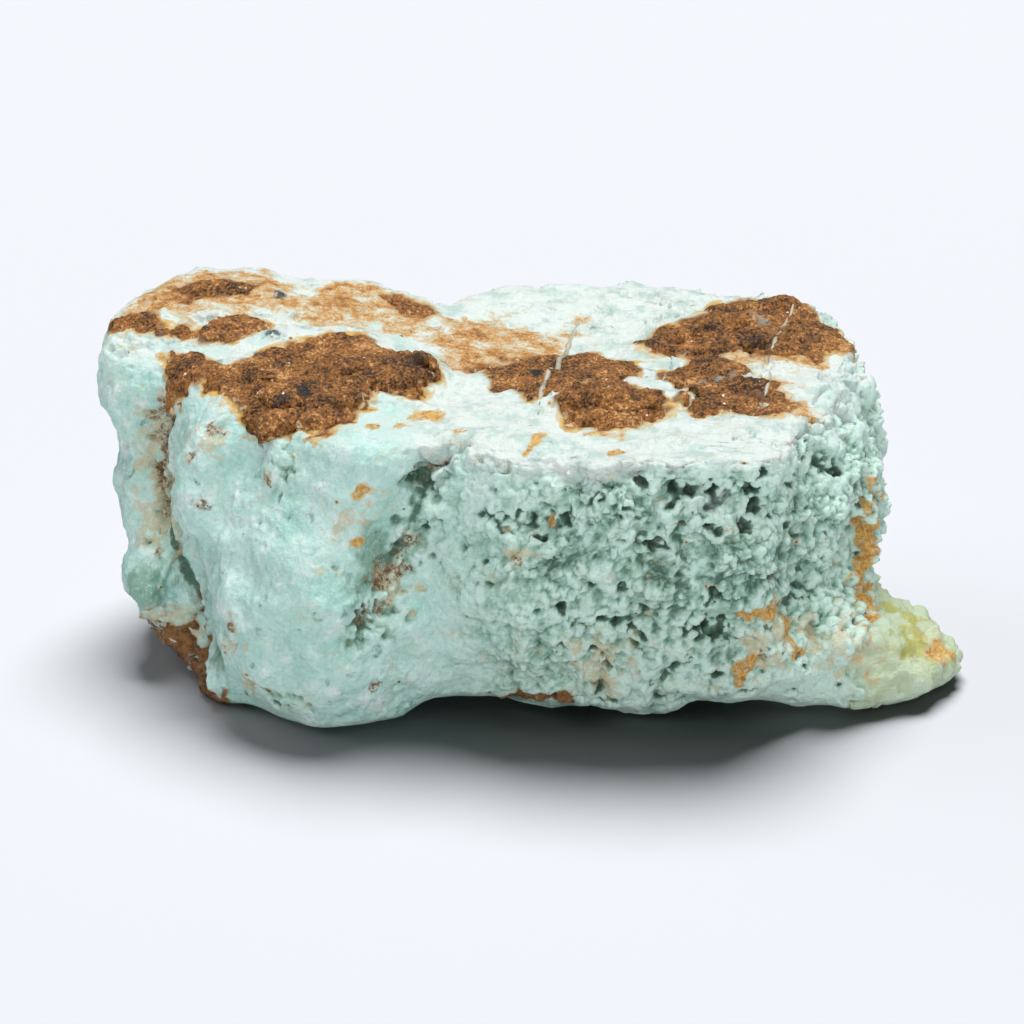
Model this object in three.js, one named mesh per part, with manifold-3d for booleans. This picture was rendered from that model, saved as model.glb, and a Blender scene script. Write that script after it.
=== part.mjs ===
// A chunk of raw chrysoprase, broken on every side, with a brown limonite crust on its upper face.
// It is one piece of stone: a flat-topped block with lobed and pitted flanks, and a low foot at its
// right end. Millimetres, +Z up, +X along the length and -Y towards the front. The origin lies under
// the middle of the chunk, on the surface that it rests on.

import * as THREE from "three";
import { ImprovedNoise } from "three/addons/math/ImprovedNoise.js";
import Module from "manifold-3d";

// ---- Driving dimensions ----

const LENGTH = 90; // tip of the foot to the left knob
const DEPTH = 51;
const HEIGHT = 35; // the back left corner, the highest point
const FACET = 1.87; // side of one facet
const FLAT_WITHIN = 0.02; // corners this near the ground lie on it
const RELAX_ROUNDS = 6;

// ---- The block's flanks ----
// Each rib is one corner of the outline, seen from above: its x and y at the base, the middle and the
// crown. They run anticlockwise from the right front corner.

const RIB_HEIGHTS = [3, 15, 28];
const RIBS = [
  { base: [24, -19], middle: [23, -21], crown: [25, -19.5] }, // right front corner
  { base: [31.5, -10], middle: [31, -9], crown: [28.5, -6] },
  { base: [34.5, 0], middle: [35, 1], crown: [33, 5] }, // right flank
  { base: [33, 8], middle: [35.5, 8], crown: [35, 11] },
  { base: [29, 16], middle: [33, 18], crown: [31.5, 19.5] }, // right back corner
  { base: [20, 20], middle: [24, 24], crown: [23, 24.5] },
  { base: [11, 22], middle: [13, 26], crown: [13, 27.5] },
  { base: [1, 21.5], middle: [2, 25.5], crown: [2, 27] }, // back lobe
  { base: [-8, 20], middle: [-7, 23.5], crown: [-6, 25] },
  { base: [-13, 18], middle: [-12, 20], crown: [-11, 20.5] }, // notch in the back
  { base: [-20, 18], middle: [-19, 20], crown: [-18, 20.5] },
  { base: [-28, 18], middle: [-28, 20.5], crown: [-27, 21] },
  { base: [-34, 16], middle: [-35, 19.5], crown: [-34, 21.5] },
  { base: [-38.5, 11], middle: [-41, 14], crown: [-41, 17] }, // left back corner
  { base: [-40, 6], middle: [-43, 8], crown: [-45, 9] }, // left knob
  { base: [-40.5, 2], middle: [-42.5, 2], crown: [-41, 1] },
  { base: [-37.5, -5], middle: [-36.5, -4], crown: [-35.5, -4] }, // recess of the left flank
  { base: [-32.5, -13.5], middle: [-31, -13.5], crown: [-28.5, -10.5] },
  { base: [-21, -21.5], middle: [-22, -21], crown: [-20, -18] }, // front left lobe
  { base: [-11, -18.5], middle: [-10, -18], crown: [-9, -17] }, // furrow
  { base: [-1, -19], middle: [0, -21], crown: [2, -20.8] },
  { base: [12, -19.5], middle: [12, -21.5], crown: [14, -21.5] },
];
const AXIS = [-4, 1]; // the ribs' polar centre
const RIM_ROUNDING = 2;

// ---- The upper face and the underside ----

const CROWN_HEIGHT = 29.6;
// Swells of the upper face: centre, half widths and height.
const SWELLS = [
  { at: [-34, 17], half: [16, 12], height: 5 }, // back left corner
  { at: [-18, 21], half: [9, 6], height: 2.3 },
  { at: [10, 25], half: [16, 5], height: 1.2 }, // back edge
  { at: [27, 18], half: [7, 5], height: 0.8 },
  { at: [3, 8], half: [12, 6], height: -0.8 },
  { at: [34, 12], half: [6, 6], height: -0.6 },
];
// Patches of crust, which stand above the upper face: centre, half widths and height.
const CRUSTS = [
  { at: [-20, 0.5], half: [11.5, 9.5], height: 1.5 }, // largest patch
  { at: [-32, 0.5], half: [5, 3.5], height: 0.9 },
  { at: [12, -1], half: [13.5, 7], height: 0.6 }, // middle patch
  { at: [7.5, -5.5], half: [4.8, 3.6], height: 1 },
  { at: [23, 15], half: [11, 6.5], height: 0.8 }, // back right patch
];
const UNDERSIDE_HEIGHT = 2.6;
// Bumps of the underside, which the stone stands on, and hollows between them.
const UNDERSIDE_BUMPS = [
  { at: [-21, -17], half: [7, 5], height: -5 }, // under the front left lobe
  { at: [-37, -4], half: [6, 11], height: -4.4 },
  { at: [-29, 12], half: [6, 5], height: -4.2 },
  { at: [6, 16], half: [8, 5], height: -4.2 },
  { at: [12, -17], half: [4, 3.5], height: -3 },
  { at: [-5, -17], half: [8, 5], height: -0.2 },
  { at: [24, -14], half: [5, 5], height: 1.2 },
];

// ---- Lobes and hollows of the flanks ----

const LOBES = [
  { at: [-32, -7, 20], half: [5.5, 5.5, 9.5] }, // column beside the recess
  { at: [-21.5, -13.5, 9.5], half: [11, 9, 12.5] }, // front left lobe
  { at: [-40, 7.5, 26.5], half: [5.5, 6.5, 5] }, // left knob
  { at: [-39.5, 4.5, 15], half: [4.5, 5, 9] },
  { at: [-38, -1.5, 8.5], half: [5, 5, 5.5] },
  { at: [-32, -7, 1.5], half: [5, 8, 4] }, // base behind the front left lobe
  { at: [-1, -14, 15], half: [9, 8.5, 13] }, // front bulge
  { at: [28, 0, 17], half: [8.6, 12, 11] }, // right flank
  { at: [22, -15, 7], half: [6, 5.5, 5] }, // bump over the foot
  { at: [34, -6.5, 0], half: [11.5, 11, 7.2] }, // foot
  { at: [29, -11, 4.5], half: [8, 6, 6] },
];
const HOLLOWS = [
  { from: [-8, -21, 29], to: [-12.5, -22.6, 14], radius: 2.6 }, // upper furrow
  { from: [-12.5, -22.6, 14], to: [-16, -23.8, 9], radius: 2.2 }, // lower furrow
  { from: [-38.5, -5.5, 27], to: [-36.5, -9, 8], radius: 2.6 }, // recess of the left flank
];
const BLEND = 2.4; // how softly lobes and hollows run into the block
// Pits of the right half, most of them in a row under the lip of the upper face.
const PITS = [
  { from: [-1, -22, 23.6], to: [2, -22.2, 23.2], radius: 1.7 },
  { from: [10.5, -22, 27], to: [11.5, -22, 25.5], radius: 1.7 },
  { from: [15, -22.2, 26.6], to: [18.5, -22, 26.8], radius: 1.9 },
  { from: [22.3, -21.4, 26.5], to: [22.3, -21.6, 23.5], radius: 1.8 },
  { from: [26.3, -17.6, 26.5], to: [26.8, -17.4, 23.5], radius: 1.8 },
  { from: [13, -22, 21.4], to: [15.5, -22, 20], radius: 1.7 },
  { from: [17, -22, 12.6], to: [19.2, -21.8, 11.8], radius: 2 },
  { from: [26.5, -16, 15], to: [27.5, -15.5, 12.5], radius: 1.8 },
  { from: [31.8, -9, 18], to: [32.2, -8.5, 14], radius: 2 },
];
const PIT_BLEND = 0.6;

const noise = new ImprovedNoise();

/** How far the rough stone stands out: wide lumps, crest lines, and knobs that are largest on the right. */
function relief(x, y, z) {
  const { smoothstep } = THREE.MathUtils;
  const lumps = noise.noise(x / 9, y / 9, z / 9);
  const crests = 0.35 - Math.abs(noise.noise(x / 7 + 40, y / 7, z / 7)) * 2;
  const knobs = noise.noise(x / 3 + 20, y / 3, z / 3);
  const upper = smoothstep(z, 27, 29.5);
  const foot = smoothstep(x, 32, 37) * (1 - smoothstep(z, 6, 9));
  const knobbly = smoothstep(x, -8, 6) * (1 - smoothstep(z, 25.5, 28.5));
  const calm = (1 - 0.5 * upper) * (1 - 0.6 * foot);
  return (0.8 * lumps + 0.7 * crests) * calm + knobs * (0.45 + 0.75 * knobbly * (1 - foot));
}

/** The larger of two distances, with a rounded edge where they meet. */
function roundedMax(a, b, rounding) {
  const overlap = Math.max(rounding - Math.abs(a - b), 0) / rounding;
  return Math.max(a, b) + (overlap * overlap * rounding) / 4;
}

const roundedMin = (a, b, rounding) => -roundedMax(-a, -b, rounding);

/** Rough distance to an ellipsoid. */
function ellipsoid(x, y, z, { at, half }) {
  const shape = Math.hypot((x - at[0]) / half[0], (y - at[1]) / half[1], (z - at[2]) / half[2]);
  return (shape - 1) * Math.min(...half);
}

/** Distance to a rod with round ends. */
function rod(point, { from, to, radius }) {
  const line = new THREE.Line3(new THREE.Vector3(...from), new THREE.Vector3(...to));
  const nearest = line.closestPointToPoint(point, true, new THREE.Vector3());
  return nearest.distanceTo(point) - radius;
}

/** Height of the crust at x, y: flat-topped patches with ragged edges. */
function crustAt(x, y) {
  const ragged = 0.3 * noise.noise(x / 3, y / 3, 60);
  const heights = CRUSTS.map(({ at, half, height }) => {
    const away = Math.hypot((x - at[0]) / half[0], (y - at[1]) / half[1]) + ragged;
    return height * (1 - THREE.MathUtils.smoothstep(away, 0.8, 1.12));
  });
  return Math.max(...heights);
}

/** Sum of round swells at x, y. */
function swellsAt(x, y, swells) {
  return swells.reduce((sum, { at, half, height }) => {
    const away = ((x - at[0]) / half[0]) ** 2 + ((y - at[1]) / half[1]) ** 2;
    return sum + height * Math.exp(-away);
  }, 0);
}

// A grid cell's twelve edges, as pairs of its corners.
const CELL_EDGES = [];
for (const a of [0, 1]) {
  for (const b of [0, 1]) {
    CELL_EDGES.push([[0, a, b], [1, a, b]], [[a, 0, b], [a, 1, b]], [[a, b, 0], [a, b, 1]]);
  }
}

// The flanks' radius about AXIS, tabled by height and angle.
const TURNS = 240;
const LEVELS = 24;

/** The outline's corners at a height: a parabola through each rib's three points. */
function outlineAt(z) {
  const [z0, z1, z2] = RIB_HEIGHTS;
  const w0 = ((z - z1) * (z - z2)) / ((z0 - z1) * (z0 - z2));
  const w1 = ((z - z0) * (z - z2)) / ((z1 - z0) * (z1 - z2));
  const w2 = ((z - z0) * (z - z1)) / ((z2 - z0) * (z2 - z1));
  return RIBS.map(
    ({ base, middle, crown }) =>
      new THREE.Vector3(
        w0 * base[0] + w1 * middle[0] + w2 * crown[0] - AXIS[0],
        w0 * base[1] + w1 * middle[1] + w2 * crown[1] - AXIS[1],
        0,
      ),
  );
}

/** Radii of a closed outline at TURNS even angles about the origin. */
function radiiOf(corners) {
  const outline = new THREE.CatmullRomCurve3(corners, true, "centripetal");
  const radii = new Array(TURNS).fill(0);
  const steps = TURNS * 8;
  for (let i = 0; i < steps; i++) {
    const point = outline.getPoint(i / steps);
    const turn = (Math.atan2(point.y, point.x) / (2 * Math.PI) + 1) % 1;
    radii[Math.floor(turn * TURNS)] = Math.hypot(point.x, point.y);
  }
  return radii;
}

const RADII = Array.from({ length: LEVELS + 1 }, (_, i) =>
  radiiOf(outlineAt((i / LEVELS) * HEIGHT)),
);

function flankRadius(turn, z) {
  const level = THREE.MathUtils.clamp((z / HEIGHT) * LEVELS, 0, LEVELS - 1e-6);
  const row = Math.floor(level);
  const step = (((turn % 1) + 1) % 1) * TURNS;
  const column = Math.floor(step) % TURNS;
  const next = (column + 1) % TURNS;
  const share = step - Math.floor(step);
  const low = THREE.MathUtils.lerp(RADII[row][column], RADII[row][next], share);
  const high = THREE.MathUtils.lerp(RADII[row + 1][column], RADII[row + 1][next], share);
  return THREE.MathUtils.lerp(low, high, level - row);
}

/** Rough distance to the stone's surface: negative inside. */
function stoneDistance(point) {
  const { x, y, z } = point;
  const turn = Math.atan2(y - AXIS[1], x - AXIS[0]) / (2 * Math.PI);
  const flank = Math.hypot(x - AXIS[0], y - AXIS[1]) - flankRadius(turn, z);
  const crown = z - CROWN_HEIGHT - swellsAt(x, y, SWELLS) - crustAt(x, y);
  const underside = UNDERSIDE_HEIGHT + swellsAt(x, y, UNDERSIDE_BUMPS) - z;
  let distance = roundedMax(flank * 0.8, crown, RIM_ROUNDING);
  distance = roundedMax(distance, underside, RIM_ROUNDING);
  for (const lobe of LOBES) {
    distance = roundedMin(distance, ellipsoid(x, y, z, lobe), BLEND);
  }
  for (const hollow of HOLLOWS) {
    distance = roundedMax(distance, -rod(point, hollow), BLEND);
  }
  distance -= relief(x, y, z);
  for (const pit of PITS) {
    distance = roundedMax(distance, -rod(point, pit), PIT_BLEND);
  }
  return Math.max(distance, -z);
}

/** Fills grid faces whose inside corners touch only across a diagonal, where no skin could close. */
function mendDiagonals(distances, strides) {
  let mended = true;
  while (mended) {
    mended = false;
    for (let axis = 0; axis < 3; axis++) {
      const [u, v] = [strides[axis], strides[(axis + 1) % 3]];
      for (let at = 0; at + u + v < distances.length; at++) {
        const face = [at, at + u, at + u + v, at + v];
        const [a, b, c, d] = face.map((corner) => distances[corner] < 0);
        if (a !== c || b !== d || a === b) continue;
        const outside = face.filter((corner) => distances[corner] >= 0);
        outside.sort((one, other) => distances[one] - distances[other]);
        distances[outside[0]] = -1e-3;
        mended = true;
      }
    }
  }
}

/** A closed skin of even facets near the surface where distance is zero: a surface net. */
function skinOf(distance, low, high, side) {
  const counts = high.clone().sub(low).divideScalar(side).ceil().toArray();
  const strides = [1, counts[0] + 1, (counts[0] + 1) * (counts[1] + 1)];
  const cornerAt = (i, j, k) => i * strides[0] + j * strides[1] + k * strides[2];
  const place = (i, j, k) => new THREE.Vector3(i, j, k).multiplyScalar(side).add(low);
  const distances = [];
  for (let k = 0; k <= counts[2]; k++) {
    for (let j = 0; j <= counts[1]; j++) {
      for (let i = 0; i <= counts[0]; i++) distances.push(distance(place(i, j, k)));
    }
  }
  mendDiagonals(distances, strides);
  // One skin corner in each cell that the surface crosses, at the middle of its crossings.
  const places = [];
  const cornerOfCell = new Map();
  for (let k = 0; k < counts[2]; k++) {
    for (let j = 0; j < counts[1]; j++) {
      for (let i = 0; i < counts[0]; i++) {
        const middle = new THREE.Vector3();
        let crossings = 0;
        for (const [from, to] of CELL_EDGES) {
          const start = distances[cornerAt(i + from[0], j + from[1], k + from[2])];
          const end = distances[cornerAt(i + to[0], j + to[1], k + to[2])];
          if (start < 0 === end < 0) continue;
          const edge = new THREE.Vector3(...from).lerp(new THREE.Vector3(...to), start / (start - end));
          middle.add(edge);
          crossings += 1;
        }
        if (!crossings) continue;
        middle.divideScalar(crossings).add(new THREE.Vector3(i, j, k));
        cornerOfCell.set(cornerAt(i, j, k), places.length / 3);
        places.push(...middle.multiplyScalar(side).add(low).toArray());
      }
    }
  }
  // One quad round each grid edge that crosses the surface.
  const faces = [];
  for (let axis = 0; axis < 3; axis++) {
    const [u, v] = [strides[(axis + 1) % 3], strides[(axis + 2) % 3]];
    for (let at = 0; at + strides[axis] < distances.length; at++) {
      const [start, end] = [distances[at] < 0, distances[at + strides[axis]] < 0];
      if (start === end) continue;
      const quad = [at, at - u, at - u - v, at - v].map((cell) => cornerOfCell.get(cell));
      if (quad.includes(undefined)) continue;
      if (!start) quad.reverse();
      faces.push(quad[0], quad[1], quad[2], quad[0], quad[2], quad[3]);
    }
  }
  const skin = new THREE.BufferGeometry();
  skin.setAttribute("position", new THREE.Float32BufferAttribute(places, 3));
  skin.setIndex(faces);
  return skin;
}

/** Moves a point straight onto the surface where distance is zero. */
function settle(point, distance) {
  const step = 0.05;
  const probe = new THREE.Vector3();
  for (let i = 0; i < 3; i++) {
    const here = distance(point);
    const slope = new THREE.Vector3(
      distance(probe.copy(point).setX(point.x + step)) - here,
      distance(probe.copy(point).setY(point.y + step)) - here,
      distance(probe.copy(point).setZ(point.z + step)) - here,
    ).divideScalar(step);
    point.addScaledVector(slope, -here / Math.max(slope.lengthSq(), 0.2));
  }
}

/** Spreads a skin's corners evenly over the surface, so that its facets have like sizes. */
function relax(skin, distance, rounds) {
  const places = skin.getAttribute("position");
  const corners = skin.index.array;
  const neighbours = Array.from({ length: places.count }, () => new Set());
  for (let i = 0; i < corners.length; i += 3) {
    for (let side = 0; side < 3; side++) {
      neighbours[corners[i + side]].add(corners[i + ((side + 1) % 3)]);
    }
  }
  const mean = new THREE.Vector3();
  const point = new THREE.Vector3();
  const other = new THREE.Vector3();
  for (let round = 0; round < rounds; round++) {
    for (let i = 0; i < places.count; i++) {
      mean.set(0, 0, 0);
      for (const n of neighbours[i]) mean.add(other.fromBufferAttribute(places, n));
      mean.divideScalar(neighbours[i].size);
      point.fromBufferAttribute(places, i).lerp(mean, 0.6);
      settle(point, distance);
      places.setXYZ(i, point.x, point.y, Math.abs(point.z) < FLAT_WITHIN ? 0 : point.z);
    }
  }
}

const wasm = await Module();
wasm.setup();

function solidOf(geometry) {
  return new wasm.Manifold(
    new wasm.Mesh({
      numProp: 3,
      vertProperties: geometry.getAttribute("position").array,
      triVerts: new Uint32Array(geometry.index.array),
    }),
  );
}

function geometryOf(solid) {
  const { vertProperties, triVerts } = solid.getMesh();
  const geometry = new THREE.BufferGeometry();
  geometry.setAttribute("position", new THREE.BufferAttribute(vertProperties, 3));
  geometry.setIndex(new THREE.BufferAttribute(triVerts, 1));
  return geometry;
}

const skin = skinOf(
  stoneDistance,
  new THREE.Vector3(-50, -28, -1.3 * FACET),
  new THREE.Vector3(50, 32, 38),
  FACET,
);
relax(skin, stoneDistance, RELAX_ROUNDS);
const stone = geometryOf(solidOf(skin));

// The finished surface is fitted to the driving dimensions, and set down over the origin.
stone.computeBoundingBox();
const size = stone.boundingBox.getSize(new THREE.Vector3());
const centre = stone.boundingBox.getCenter(new THREE.Vector3());
stone.translate(-centre.x, -centre.y, -stone.boundingBox.min.z);
stone.scale(LENGTH / size.x, DEPTH / size.y, HEIGHT / size.z);
stone.computeVertexNormals();

const chunk = new THREE.Mesh(
  stone,
  new THREE.MeshStandardMaterial({ color: 0xa6c6bb, roughness: 0.8, metalness: 0 }),
);
chunk.name = "chrysoprase_chunk";

const group = new THREE.Group();
group.add(chunk);

export default group;
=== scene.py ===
"""A chunk of raw chrysoprase: waxy lobes, pits and round grains under a brown limonite crust.

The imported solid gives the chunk's form. This script makes the fine surface from it, grows the grains,
the crust and the veinlets on it, and lights it in a plain studio. Lengths in this file are millimetres,
and the meshes are in metres.
"""

import itertools
import logging
import math
from dataclasses import dataclass
from enum import Enum

import bmesh
import bpy
import numpy as np
from mathutils import Matrix, Vector
from mathutils.bvhtree import BVHTree


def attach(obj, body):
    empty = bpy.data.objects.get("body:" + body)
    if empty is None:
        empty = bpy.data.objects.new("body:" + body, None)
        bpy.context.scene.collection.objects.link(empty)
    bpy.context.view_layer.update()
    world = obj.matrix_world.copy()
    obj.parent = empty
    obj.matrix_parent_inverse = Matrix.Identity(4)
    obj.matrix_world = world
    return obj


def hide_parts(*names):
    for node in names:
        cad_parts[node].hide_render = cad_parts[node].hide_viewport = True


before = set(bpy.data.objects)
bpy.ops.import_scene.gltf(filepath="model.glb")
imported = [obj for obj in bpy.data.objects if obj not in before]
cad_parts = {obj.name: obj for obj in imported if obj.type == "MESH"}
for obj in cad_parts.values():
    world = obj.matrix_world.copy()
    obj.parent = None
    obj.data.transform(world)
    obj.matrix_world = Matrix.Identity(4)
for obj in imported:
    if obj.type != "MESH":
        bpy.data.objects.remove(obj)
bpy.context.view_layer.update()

MM = 0.001
CHUNK_NODE = "chrysoprase_chunk"
BODY = "root"

# How deep a piece goes on under the one that takes over from it, and which way the front grains face.
BURIED_DEPTH = 0.6
GRAINS_FACE = (0.6, -0.8, 0.0)
# Lowest height of the crust, and how far outside its outline all that is lower counts as.
CRUST_FLOOR = 27.6
FAR_OUTSIDE = -5.0
# A mark's edge is frayed by so much of its half width, and its full strength starts at so much of it.
MARK_FRAY = 0.55
MARK_CORE = 0.25
# Squared length that stands for that of a path of one point.
SHORTEST = 1e-9
# Whole numbers that mix a cell's place and the seed into random bits.
MIXERS = (374761393, 668265263, 2246822519, 3266489917)
SCRAMBLER = 2654435761
# Keeps the seeds of two patterns apart, and brings lumps to about -1 to 1.
SEED_STEP = 31
LUMP_GAIN = 1.6

log = logging.getLogger("chrysoprase")

Socket = bpy.types.NodeSocket
Paint = bpy.types.NodeSocket | str
Path = tuple[tuple[float, ...], ...]
Outline = tuple[tuple[float, float], ...]


# ---- Random fields over points ----


def smoothstep(values: np.ndarray, low: float, high: float) -> np.ndarray:
    """Runs smoothly from 0 where a value is low to 1 where it is high; low may be the greater number."""
    share = np.clip((values - low) / (high - low), 0.0, 1.0)
    return share * share * (3.0 - 2.0 * share)


def scattered(grid: np.ndarray, seed: int) -> np.ndarray:
    """Three random numbers for each cell of a grid, always the same ones for the same cell.

    Args:
        grid: The cells' whole numbers, three a row.
        seed: Which pattern.

    Returns:
        Numbers from 0 to 1, three a row.
    """
    whole = grid.astype(np.int64).astype(np.uint32)
    mixed = sum(whole[:, axis] * np.uint32(MIXERS[axis]) for axis in range(3))
    mixed += np.uint32(seed * MIXERS[3] % 2**32)
    columns = []
    for _ in range(3):
        mixed = (mixed ^ (mixed >> np.uint32(15))) * np.uint32(SCRAMBLER)
        mixed ^= mixed >> np.uint32(13)
        columns.append(mixed / 2.0**32)
    return np.stack(columns, 1)


def lumps(points: np.ndarray, size: float, seed: int, octaves: int = 1) -> np.ndarray:
    """Soft random lumps.

    Args:
        points: Points in millimetres, one a row.
        size: Width of the largest lumps in millimetres.
        seed: Which pattern.
        octaves: How many sizes of lump, each half the last.

    Returns:
        One number a point, about -1 to 1.
    """
    total = np.zeros(len(points))
    for octave in range(octaves):
        places = points / (size * 0.5**octave)
        base = np.floor(places)
        inner = places - base
        ease = inner**3 * (inner * (inner * 6.0 - 15.0) + 10.0)
        for corner in itertools.product((0, 1), repeat=3):
            slope = scattered(base + corner, seed * SEED_STEP + octave) * 2.0 - 1.0
            weight = np.where(corner, ease, 1.0 - ease).prod(1)
            total += LUMP_GAIN * 0.5**octave * weight * (slope * (inner - corner)).sum(1)
    return total


def cells(points: np.ndarray, size: float, seed: int) -> tuple[np.ndarray, np.ndarray, np.ndarray]:
    """Splits space into random cells, as grains pack.

    Args:
        points: Points in millimetres, one a row.
        size: Width of a cell in millimetres.
        seed: Which pattern.

    Returns:
        Distance to the nearest cell's centre and to the next one's, in cell widths, and the nearest
        centre in millimetres.
    """
    places = points / size
    base = np.floor(places)
    near = np.full(len(points), np.inf)
    second = near.copy()
    centres = np.zeros_like(points)
    for corner in itertools.product((-1, 0, 1), repeat=3):
        cell = base + corner
        centre = cell + 0.1 + 0.8 * scattered(cell, seed * SEED_STEP)
        gap = np.linalg.norm(places - centre, axis=1)
        closer = gap < near
        second = np.where(closer, near, np.minimum(second, gap))
        near = np.where(closer, gap, near)
        centres[closer] = centre[closer]
    return near, second, centres * size


@dataclass(frozen=True)
class Patch:
    """An area of the upper face, given by its outline seen from above.

    Attributes:
        outline: Corners of the outline, in millimetres.
        height: How far it stands above the stone, in millimetres.
    """

    outline: Outline
    height: float = 0.0

    def inside(self, points: np.ndarray) -> np.ndarray:
        """How far inside the outline each point lies, in millimetres; negative outside.

        Args:
            points: Points in millimetres, one a row.

        Returns:
            One distance a point.
        """
        flat = points[:, :2]
        nearest = np.full(len(points), np.inf)
        within = np.zeros(len(points), bool)
        corners = np.array(self.outline)
        for start, end in zip(corners, np.roll(corners, -1, axis=0)):
            side = end - start
            share = np.clip((flat - start) @ side / (side @ side), 0.0, 1.0)
            nearest = np.minimum(nearest, np.linalg.norm(flat - start - share[:, None] * side, axis=1))
            crosses = (start[1] > flat[:, 1]) != (end[1] > flat[:, 1])
            rise = side[1] if side[1] else 1.0
            meets = start[0] + (flat[:, 1] - start[1]) / rise * side[0]
            within ^= crosses & (flat[:, 0] < meets)
        return np.where(within, nearest, -nearest)


@dataclass(frozen=True)
class Mark:
    """A mark along a path on the stone: a pit, a furrow, a stain or a streak.

    Attributes:
        path: Points along it, in millimetres, or X and Y alone for a mark as seen from above.
        half_width: Distance from the path at which it ends, in millimetres.
        depth: How deep it is cut, in millimetres; negative stands out.
    """

    path: Path
    half_width: float
    depth: float = 0.0

    def share(self, points: np.ndarray, ragged: np.ndarray) -> np.ndarray:
        """How strongly each point is marked, from 0 to 1.

        Args:
            points: Points in millimetres, one a row.
            ragged: Random numbers that fray the mark's edge, one a point.

        Returns:
            One number a point.
        """
        nearest = np.full(len(points), np.inf)
        stops = np.array(self.path if len(self.path) > 1 else self.path * 2, float)
        places = points[:, : stops.shape[1]]
        for start, end in zip(stops[:-1], stops[1:]):
            side = end - start
            share = np.clip((places - start) @ side / max(side @ side, SHORTEST), 0.0, 1.0)
            nearest = np.minimum(nearest, np.linalg.norm(places - start - share[:, None] * side, axis=1))
        return smoothstep(nearest / self.half_width + MARK_FRAY * ragged, 1.0, MARK_CORE)


def spots(*rows: tuple[float, ...], flat: bool = False) -> tuple[Mark, ...]:
    """Round marks, one for each row.

    Args:
        *rows: Its place, its half width and, where it is cut, its depth, in millimetres.
        flat: Whether the places are X and Y alone, as seen from above.

    Returns:
        The marks.
    """
    axes = 2 if flat else 3
    return tuple(Mark((row[:axes],), *row[axes:]) for row in rows)


def strongest(marks: tuple[Mark, ...], points: np.ndarray, ragged: np.ndarray) -> np.ndarray:
    """The strongest of several marks at each point, from 0 to 1."""
    return np.max([mark.share(points, ragged) for mark in marks], axis=0)


@dataclass(frozen=True)
class Ledge:
    """An edge on the front where the stone to the left of it lies lower.

    Attributes:
        path: Points along it as the front shows them, X and Z in millimetres, from the bottom up.
        drop: How much lower the left side is, in millimetres; negative stands out.
        reach: How far to the left that goes on, in millimetres.
    """

    path: Outline
    drop: float
    reach: float

    def shares(self, points: np.ndarray, ragged: np.ndarray) -> tuple[np.ndarray, np.ndarray, np.ndarray]:
        """How much each point belongs to the ledge, from 0 to 1.

        Args:
            points: Points in millimetres, one a row.
            ragged: Random numbers that fray the edge, one a point.

        Returns:
            Shares of the lower side, of the edge's rim and of the crevice below it.
        """
        across, up = np.array(self.path).T
        x, y, z = points.T
        beside = x - np.interp(z, up, across) + 0.25 * ragged
        within = smoothstep(z, up[0] - 2.0, up[0]) * smoothstep(z, up[-1] + 1.0, up[-1] - 1.0)
        within *= smoothstep(y, 0.0, -3.0)
        low = smoothstep(beside, 0.35, -0.6) * smoothstep(beside, -self.reach, -0.25 * self.reach)
        rim = smoothstep(beside, -0.2, 0.2) * smoothstep(beside, 1.1, 0.3)
        crevice = smoothstep(beside, -0.1, -0.5) * smoothstep(beside, -1.3, -0.6)
        return low * within, rim * within, crevice * within


# ---- What the chunk shows, in millimetres in the frame ----

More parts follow.
